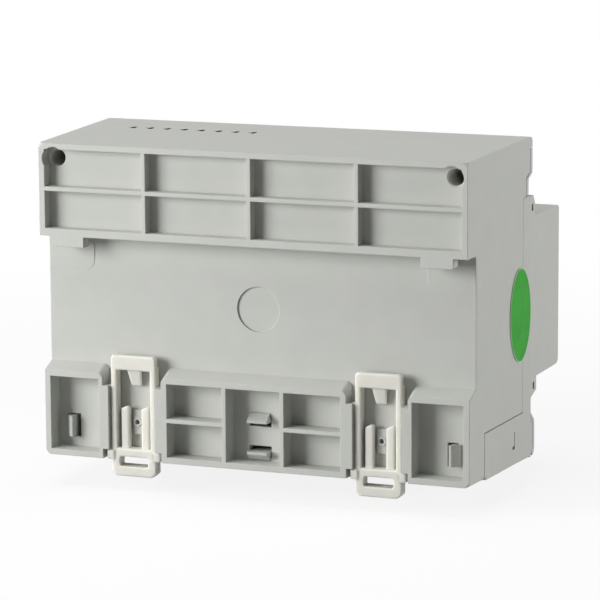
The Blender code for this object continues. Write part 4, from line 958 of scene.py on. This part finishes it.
@dataclass
class RailClips:
    """The two sliding clips, as copies with their edges rounded over."""

    rounding: float = 0.32 * MM
    steps: int = 3
    corner: float = math.radians(40)

    def build(self) -> None:
        """Makes both rounded clips."""
        for body in ("clip_left", "clip_right"):
            node = f"rail_{body}"
            mesh = merged_copy(node, flat=True)
            obj = settle(f"{body}_rounded", mesh, Finish.CLIP_WHITE, body, [node], False)
            soft = obj.modifiers.new("soft_edges", "BEVEL")
            soft.width = self.rounding
            soft.segments = self.steps
            soft.limit_method = "ANGLE"
            soft.angle_limit = self.corner
            soft.use_clamp_overlap = False


@dataclass
class MainsTerminals:
    """Terminal block, clamps, screws, copper bridges and current transformers."""

    ring_rounding: float = 1.2 * MM
    ring_bore: float = 0.46

    def current_ring(self, node: str) -> None:
        """Replaces a plain ring by one with round shoulders.

        The profile is a rounded rectangle between bore and rim, turned on the upright axis.

        Args:
            node: The ring's name.
        """
        low, high = np.array(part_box(node))
        centre = (low + high) / 2
        rim, half = (high[0] - low[0]) / 2, (high[2] - low[2]) / 2
        bore = rim * self.ring_bore
        soft = self.ring_rounding
        turn = np.linspace(0.0, np.pi / 2, 5)
        corners = (
            (rim - soft, half - soft, 0.0),
            (bore + soft, half - soft, np.pi / 2),
            (bore + soft, -half + soft, np.pi),
            (rim - soft, -half + soft, 3 * np.pi / 2),
        )
        profile = [
            (middle + soft * math.cos(start + t), height + soft * math.sin(start + t))
            for middle, height, start in corners
            for t in turn
        ]
        rings = turned(profile + profile[:1], centre, 2, 48)
        shape(f"{node}_ring", [rings], Finish.BLACK_PLASTIC, "case", [node], ends=False)

    def build(self) -> None:
        """Dresses every part of the mains side."""
        looks = {
            Finish.TERMINAL_GREY: ["lower_terminal_block"],
            Finish.ZINC_STEEL: numbered("terminal_cage", POLES) + numbered("terminal_screw", POLES),
            Finish.COPPER: ["busbar_l1", "busbar_l2", "busbar_l3", "busbar_n"],
        }
        dress_each(looks)
        for name in numbered("current_transformer", PHASES):
            self.current_ring(name)


@dataclass
class Electronics:
    """The boards and the parts soldered to them."""

    chip_height: float = 1.6 * MM
    capacitor_radius: float = 3.1 * MM
    capacitor_height: float = 9.0 * MM
    chip_edge: float = 0.2 * MM
    lamination: float = 0.9 * MM
    sheet_share: float = 0.8
    sheet_edge: float = 0.12 * MM
    coil_inset: float = 1.2 * MM
    coil_edge: float = 2.0 * MM
    flange: float = 1.1 * MM
    flange_inset: float = 0.6 * MM
    flange_edge: float = 0.3 * MM
    cell_tip: float = 0.8 * MM
    chip_row: float = -6 * MM
    chips: tuple[Triple, ...] = ((-36, 9, 5), (-22, 6, 4), (-8, 11, 6), (8, 6, 4), (24, 9, 5))
    cans: tuple[float, ...] = (-40, -31, -18, -9, 0)
    can_row: float = 34 * MM

    def battery(self) -> None:
        """Replaces the backup cell: a sleeved can with rolled shoulders and a raised tip."""
        low, high = np.array(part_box("backup_battery"))
        radius, length = (high[2] - low[2]) / 2, high[0] - low[0]
        middle = (low + high) / 2
        end = length - self.cell_tip
        foot = [(0.0, 0.0), (radius * 0.72, 0.0), (radius * 0.74, 0.25 * MM)]
        foot += [(radius * 0.84, 0.05 * MM), (radius * 0.95, 0.2 * MM), (radius, 0.9 * MM)]
        head = [(radius, end - 0.9 * MM), (radius * 0.95, end - 0.2 * MM)]
        head += [(radius * 0.84, end - 0.05 * MM), (radius * 0.74, end - 0.3 * MM)]
        tip = [(radius * 0.34, end - 0.25 * MM), (radius * 0.32, length - 0.15 * MM)]
        profile = foot + head + tip + [(radius * 0.28, length), (0.0, length)]
        rings = turned(profile, (low[0], middle[1], middle[2]), 0, 40)
        shape("backup_cell", [rings], Finish.BATTERY_SLEEVE, "case", ["backup_battery"])

    def transformer(self) -> None:
        """Replaces the transformer by a stack of iron sheets round a wound bobbin.

        The sheets reach a third of its height above and below its middle, and the coil is half
        as wide as they are.
        """
        low, high = np.array(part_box("supply_transformer"))
        middle, size = (low + high) / 2, high - low
        stack, half, end = size[2] / 3, size[0] / 4, size[1] * 0.1
        count = int(size[1] / self.lamination)
        edges = np.linspace(low[1], high[1], count + 1)
        sheets = [
            soft_block(
                (low[0], start, middle[2] - stack),
                (high[0], start + self.lamination * self.sheet_share, middle[2] + stack),
                self.sheet_edge,
                1,
                2,
            )
            for start in edges[:-1]
        ]
        shape("iron_sheets", sheets, Finish.ZINC_STEEL, "case")
        coil = soft_block(
            (middle[0] - half, low[1] + end, low[2] + self.coil_inset),
            (middle[0] + half, high[1] - end, high[2] - self.coil_inset),
            self.coil_edge,
        )
        shape("transformer_coil", [coil], Finish.TRANSFORMER_TAPE, "case", ["supply_transformer"])
        inset = self.flange_inset
        flanges = [
            soft_block(
                (middle[0] - half - inset, low[1] + inset, start),
                (middle[0] + half + inset, high[1] - inset, start + self.flange),
                self.flange_edge,
            )
            for start in (low[2], high[2] - self.flange)
        ]
        shape("bobbin_flanges", flanges, Finish.BLACK_PLASTIC, "case")

    def board_parts(self) -> None:
        """Adds chips and capacitors to the main board, on its front side.

        Chips are given in millimetres: the middle's X, the width and the height.
        """
        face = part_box("main_board")[0][1]
        chips = [
            soft_block(
                ((x - wide / 2) * MM, face - self.chip_height, self.chip_row - tall / 2 * MM),
                ((x + wide / 2) * MM, face, self.chip_row + tall / 2 * MM),
                self.chip_edge,
                1,
            )
            for x, wide, tall in self.chips
        ]
        shape("board_chips", chips, Finish.BLACK_PLASTIC, "case")
        radius, height = self.capacitor_radius, self.capacitor_height
        foot = [(0.0, 0.0), (radius * 0.96, 0.0), (radius, -0.3 * MM)]
        groove = [(radius, -1.0 * MM), (radius * 0.93, -1.4 * MM), (radius, -1.8 * MM)]
        head = [(radius, -height + 0.5 * MM), (radius * 0.9, -height)]
        head += [(radius * 0.8, -height + 0.2 * MM), (0.0, -height + 0.2 * MM)]
        profile = foot + groove + head
        cans = [turned(profile, (x * MM, face, self.can_row), 1, 28) for x in self.cans]
        shape("board_capacitors", cans, Finish.BATTERY_SLEEVE, "case")

    def build(self) -> None:
        """Dresses the boards and what they carry."""
        screws = numbered("aux_screw", POLES) + numbered("board_screw", BOARD_SCREWS)
        looks = {
            Finish.CIRCUIT_BOARD: ["main_board", "display_board"],
            Finish.BLACK_PLASTIC: ["board_connector"],
            Finish.AUX_GREEN: ["aux_terminal_block"],
            Finish.ZINC_STEEL: screws + ["housing_screw_left", "housing_screw_right"],
        }
        dress_each(looks)
        self.battery()
        self.transformer()
        self.board_parts()


class Segment(Enum):
    """The seven strokes of a display digit, as start and end on a grid 1 wide and 2 high."""

    TOP = ((0, 2), (1, 2))
    UPPER_LEFT = ((0, 1), (0, 2))
    UPPER_RIGHT = ((1, 1), (1, 2))
    MIDDLE = ((0, 1), (1, 1))
    LOWER_LEFT = ((0, 0), (0, 1))
    LOWER_RIGHT = ((1, 0), (1, 1))
    BOTTOM = ((0, 0), (1, 0))


@dataclass
class FrontPanel:
    """Window, display, keys and lamp. The lit strokes of digits 0 to 5 are in Segment's order."""

    reading: str = "0012345"
    digit_width: float = 5.6 * MM
    digit_height: float = 11.5 * MM
    digit_pitch: float = 8.4 * MM
    stroke: float = 1.1 * MM
    stroke_gap: float = 0.12
    thickness: float = 0.08 * MM
    slant: float = 0.08
    digit_gap: float = 0.02 * MM
    point_edge: float = 0.03 * MM
    bezel_corner: float = 2.0 * MM
    bezel_reach: tuple[float, float] = (1.0 * MM, 1.8 * MM)
    bezel_place: tuple[float, float] = (0.2 * MM, 0.5 * MM)
    key_collar: float = 1.2 * MM
    collar_place: tuple[float, float] = (2.05 * MM, 3.0 * MM)
    lamp_flange: float = 1.0 * MM
    lamp_spread: float = 1.3
    lit: tuple[str, ...] = ("1110111", "0010010", "1011101", "1011011", "0111010", "1101011")

    def bar(self, start: np.ndarray, end: np.ndarray, face: float) -> np.ndarray:
        """Rings of one stroke: a six-sided plate whose points lie at start and end.

        Args:
            start: Its first end in X and Z.
            end: Its second end.
            face: Its back's place in Y.

        Returns:
            Two rings, back and front.
        """
        way = (end - start) / np.linalg.norm(end - start)
        side = np.array([-way[1], way[0]]) * self.stroke / 2
        gap = way * self.stroke * self.stroke_gap
        first, last = start + gap, end - gap
        inner, outer = first + way * self.stroke / 2, last - way * self.stroke / 2
        flat = np.array([first, inner + side, outer + side, last, outer - side, inner - side])
        rings = np.empty((2, 6, 3))
        rings[..., 0], rings[..., 2] = flat[:, 0], flat[:, 1]
        rings[..., 1] = np.array([face, face - self.thickness])[:, None]
        return rings

    def digits(self) -> None:
        """Lays the reading on the display's glass, with a decimal point before its last digit."""
        low, high = np.array(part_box("lcd_panel"))
        count = len(self.reading)
        left = (low[0] + high[0]) / 2 - self.digit_pitch * (count - 1) / 2 - self.digit_width / 2
        foot = (low[2] + high[2]) / 2 - self.digit_height / 2
        face = low[1] - self.digit_gap
        scale = np.array([self.digit_width, self.digit_height / 2])
        bars = []
        for place, digit in enumerate(self.reading):
            base = np.array([left + place * self.digit_pitch, foot])
            for segment, on in zip(Segment, self.lit[int(digit)]):
                if on == "1":
                    ends = [base + np.array(end) * scale for end in segment.value]
                    for end in ends:
                        end[0] += self.slant * (end[1] - foot)
                    bars.append(self.bar(*ends, face))
        point = left + (count - 1) * self.digit_pitch - (self.digit_pitch - self.digit_width) / 2
        dot = self.stroke / 2
        lowest = (point - dot, face - self.thickness, foot - dot)
        highest = (point + dot, face, foot + dot)
        bars.append(soft_block(lowest, highest, self.point_edge, 1, 2))
        shape("display_digits", bars, Finish.BLACK_PLASTIC, "case")

    def bezel(self) -> None:
        """Lays a thin dark frame between the window and the display's glass.

        Its rings are rounded rectangles, larger than the glass outside and smaller inside.
        """
        low, high = np.array(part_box("lcd_panel"))
        outside, inside = self.bezel_reach
        back, front = self.bezel_place
        reach = np.array([outside, outside, -inside, -inside, outside])
        rings = soft_corners(low, high, self.bezel_corner, reach + self.bezel_corner, 1, 5)
        rings[..., 1] = (low[1] - np.array([front, back, back, front, front]))[:, None]
        shape("display_bezel", [rings], Finish.BLACK_PLASTIC, "case", ends=False)

    def key(self, node: str, body: str) -> None:
        """Replaces a key by one with a dished top, a rounded rim, a collar and a stem.

        Args:
            node: The key's name.
            body: The body that it rides on.
        """
        low, high = np.array(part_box(node))
        middle = (low + high) / 2
        wide, length = (high[0] - low[0]) / 2, high[1] - low[1]
        cap = wide - self.key_collar
        front, back = self.collar_place
        dish = [(0.0, 0.3 * MM), (cap * 0.45, 0.22 * MM), (cap * 0.78, 0.04 * MM)]
        edge = [(cap * 0.88, 0.0), (cap * 0.97, 0.1 * MM), (cap, 0.35 * MM)]
        collar = [(cap, front), (wide, front), (wide, back)]
        stem = [(cap / 2, back + 0.05 * MM), (cap / 2, length), (0.0, length)]
        profile = dish + edge + collar + stem
        rings = turned(profile, (middle[0], low[1], middle[2]), 1, 40)
        shape(f"{body}_cap", [rings], Finish.BUTTON_GREY, body, [node])

    def lamp(self) -> None:
        """Replaces the lamp by one with a domed lens and a flange at its foot."""
        low, high = np.array(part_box("pulse_led"))
        middle = (low + high) / 2
        foot, length = (high[0] - low[0]) / 2, high[1] - low[1]
        radius = foot / self.lamp_spread
        turn = np.linspace(0.0, np.pi / 2, 7)
        dome = [(radius * math.sin(t), radius * (1.0 - math.cos(t))) for t in turn]
        shelf = length - self.lamp_flange
        profile = dome + [(radius, shelf), (foot, shelf), (foot, length), (0.0, length)]
        rings = turned(profile, (middle[0], low[1], middle[2]), 1)
        shape("lamp_lens", [rings], Finish.LED_RED, "case", ["pulse_led"])

    def build(self) -> None:
        """Dresses the parts of the front panel and adds its digits, keys and lamp."""
        looks = {
            Finish.WINDOW_CLEAR: ["display_window"],
            Finish.LCD_GLASS: ["lcd_panel"],
            Finish.BACKLIGHT: ["lcd_backlight"],
            Finish.BLACK_PLASTIC: numbered("tact_switch", 2),
        }
        dress_each(looks)
        self.digits()
        self.bezel()
        self.key("push_button_1", "key_upper")
        self.key("push_button_2", "key_lower")
        self.lamp()


@dataclass(frozen=True)
class Lamp:
    """A round area lamp that faces the middle of the meter."""

    name: str
    way: Triple
    level: float
    size: float
    distance: float = 1.2

    def build(self) -> None:
        """Adds the lamp. A white surface square to it would be as bright as its level."""
        way = Vector(self.way).normalized()
        data = bpy.data.lights.new(self.name, "AREA")
        data.shape = "DISK"
        data.size = self.size
        reach = self.distance**2 + (self.size / 2) ** 2
        data.energy = self.level * math.pi**2 * reach
        obj = placed(self.name, data)
        obj.location = way * self.distance
        obj.rotation_euler = way.to_track_quat("Z", "Y").to_euler()
        LOG.info("lamp %s at level %.2f", self.name, self.level)


@dataclass
class Studio:
    """Camera at the photograph's angle, a pale floor, three soft lamps and an even sky.

    The floor lies a little farther below the clips than they can be pulled out.
    """

    azimuth: float = 202.00823
    elevation: float = 9.954762
    roll: float = -0.322999
    distance: float = 0.96234359
    focal_pixels: float = 3581.8267
    frame_pixels: float = 600.0
    origin_pixel: tuple[float, float] = (258.374425, 309.578260)
    sky: float = 0.04
    floor_colour: float = 0.40
    floor_lift: float = 0.86
    floor_reach: float = 6.0
    floor_speck: float = 0.02
    fade: tuple[float, float] = (0.12, 0.45)
    clearance: float = 4.05 * MM
    lamps: tuple[Lamp, ...] = (
        Lamp("key", (0.751, 0.652, 0.200), 1.06, 0.48, 0.78),
        Lamp("overhead", (0.10, 0.13, 1.0), 0.43, 0.90),
        Lamp("fill", (-1.0, -0.30, 0.20), 0.50, 0.60),
    )

    def axes(self) -> tuple[Vector, Vector, Vector]:
        """Works out the camera's directions from its three angles.

        Returns:
            Right, up and back.
        """
        turn, lift, roll = (math.radians(v) for v in (self.azimuth, self.elevation, self.roll))
        back = Vector(
            (math.sin(turn) * math.cos(lift), -math.cos(turn) * math.cos(lift), math.sin(lift))
        )
        right = (-back).cross(Vector((0, 0, 1))).normalized()
        up = right.cross(-back)
        return (
            math.cos(roll) * right + math.sin(roll) * up,
            -math.sin(roll) * right + math.cos(roll) * up,
            back,
        )

    def camera(self) -> None:
        """Places the camera so that the frame's origin falls on its pixel of the photograph."""
        right, up, back = self.axes()
        middle = self.frame_pixels / 2
        x = (self.origin_pixel[0] - middle) * self.distance / self.focal_pixels
        y = -(self.origin_pixel[1] - middle) * self.distance / self.focal_pixels
        place = -(x * right + y * up - self.distance * back)
        data = bpy.data.cameras.new("camera")
        data.sensor_width = 36.0
        data.lens = self.focal_pixels * data.sensor_width / self.frame_pixels
        data.clip_start = 0.01
        data.clip_end = 20.0
        obj = placed("camera", data)
        matrix = Matrix((right, up, back)).transposed().to_4x4()
        matrix.translation = place
        obj.matrix_world = matrix
        bpy.context.scene.camera = obj

    def world(self) -> None:
        """Adds an even sky, dim as a light and white where it is seen."""
        world = bpy.data.worlds.new("sky")
        bpy.context.scene.world = world
        world.use_nodes = True
        graph = Graph(world.node_tree)
        backdrop = graph.tree.nodes["Background"]
        graph.feed(backdrop.inputs["Color"], WHITE)
        graph.feed(backdrop.inputs["Strength"], self.sky + graph.shown() * (1.0 - self.sky))

    def floor(self) -> None:
        """Lays a pale floor under the lowest point.

        Where the floor is seen, its light is lift + (1 - lift) x light, so that it is white where
        nothing shades it and keeps a faint shadow. The lift grows to 1 far from the meter.
        """
        low = CAD_BOX[0][2] - self.clearance
        side = self.floor_reach
        corners = [(-side, -side, low), (side, -side, low), (side, side, low), (-side, side, low)]
        mesh = bpy.data.meshes.new("floor")
        mesh.from_pydata(corners, [], [(0, 1, 2, 3)])
        obj = placed("floor", mesh)
        graph = Graph.material("pale_floor")
        speck = graph.noise(self.floor_speck)
        seen = graph.shown()
        tone = (self.floor_colour,) * 3
        base = graph.mix(speck, shade(tone, 0.98), shade(tone, 1.02))
        x, y = graph.axis(0), graph.axis(1)
        far = ((x * x + y * y) ** 0.5).ramp(*self.fade)
        faded = graph.mix(far, (1.0 - self.floor_lift,) * 3, BLACK)
        base = graph.mix(seen, base, faded)
        lift = graph.mix(far, (self.floor_lift,) * 3, WHITE)
        lift = graph.mix(seen, BLACK, lift)
        mesh.materials.append(
            graph.surface(
                Base_Color=base,
                Roughness=0.9,
                Emission_Color=lift,
                Emission_Strength=1.0,
                Specular_IOR_Level=0.0,
            )
        )

    def build(self) -> None:
        """Sets up the whole studio."""
        self.camera()
        self.world()
        for lamp in self.lamps:
            lamp.build()
        self.floor()
        bpy.context.scene.view_settings.view_transform = "Standard"


def main() -> None:
    """Builds the studio and every sub-assembly in order."""
    for kind in (Studio, Housings, RailClips, MainsTerminals, Electronics, FrontPanel):
        part = kind()
        part.build()
        LOG.info("%s done", kind.__name__)


if __name__ == "__main__":
    main()
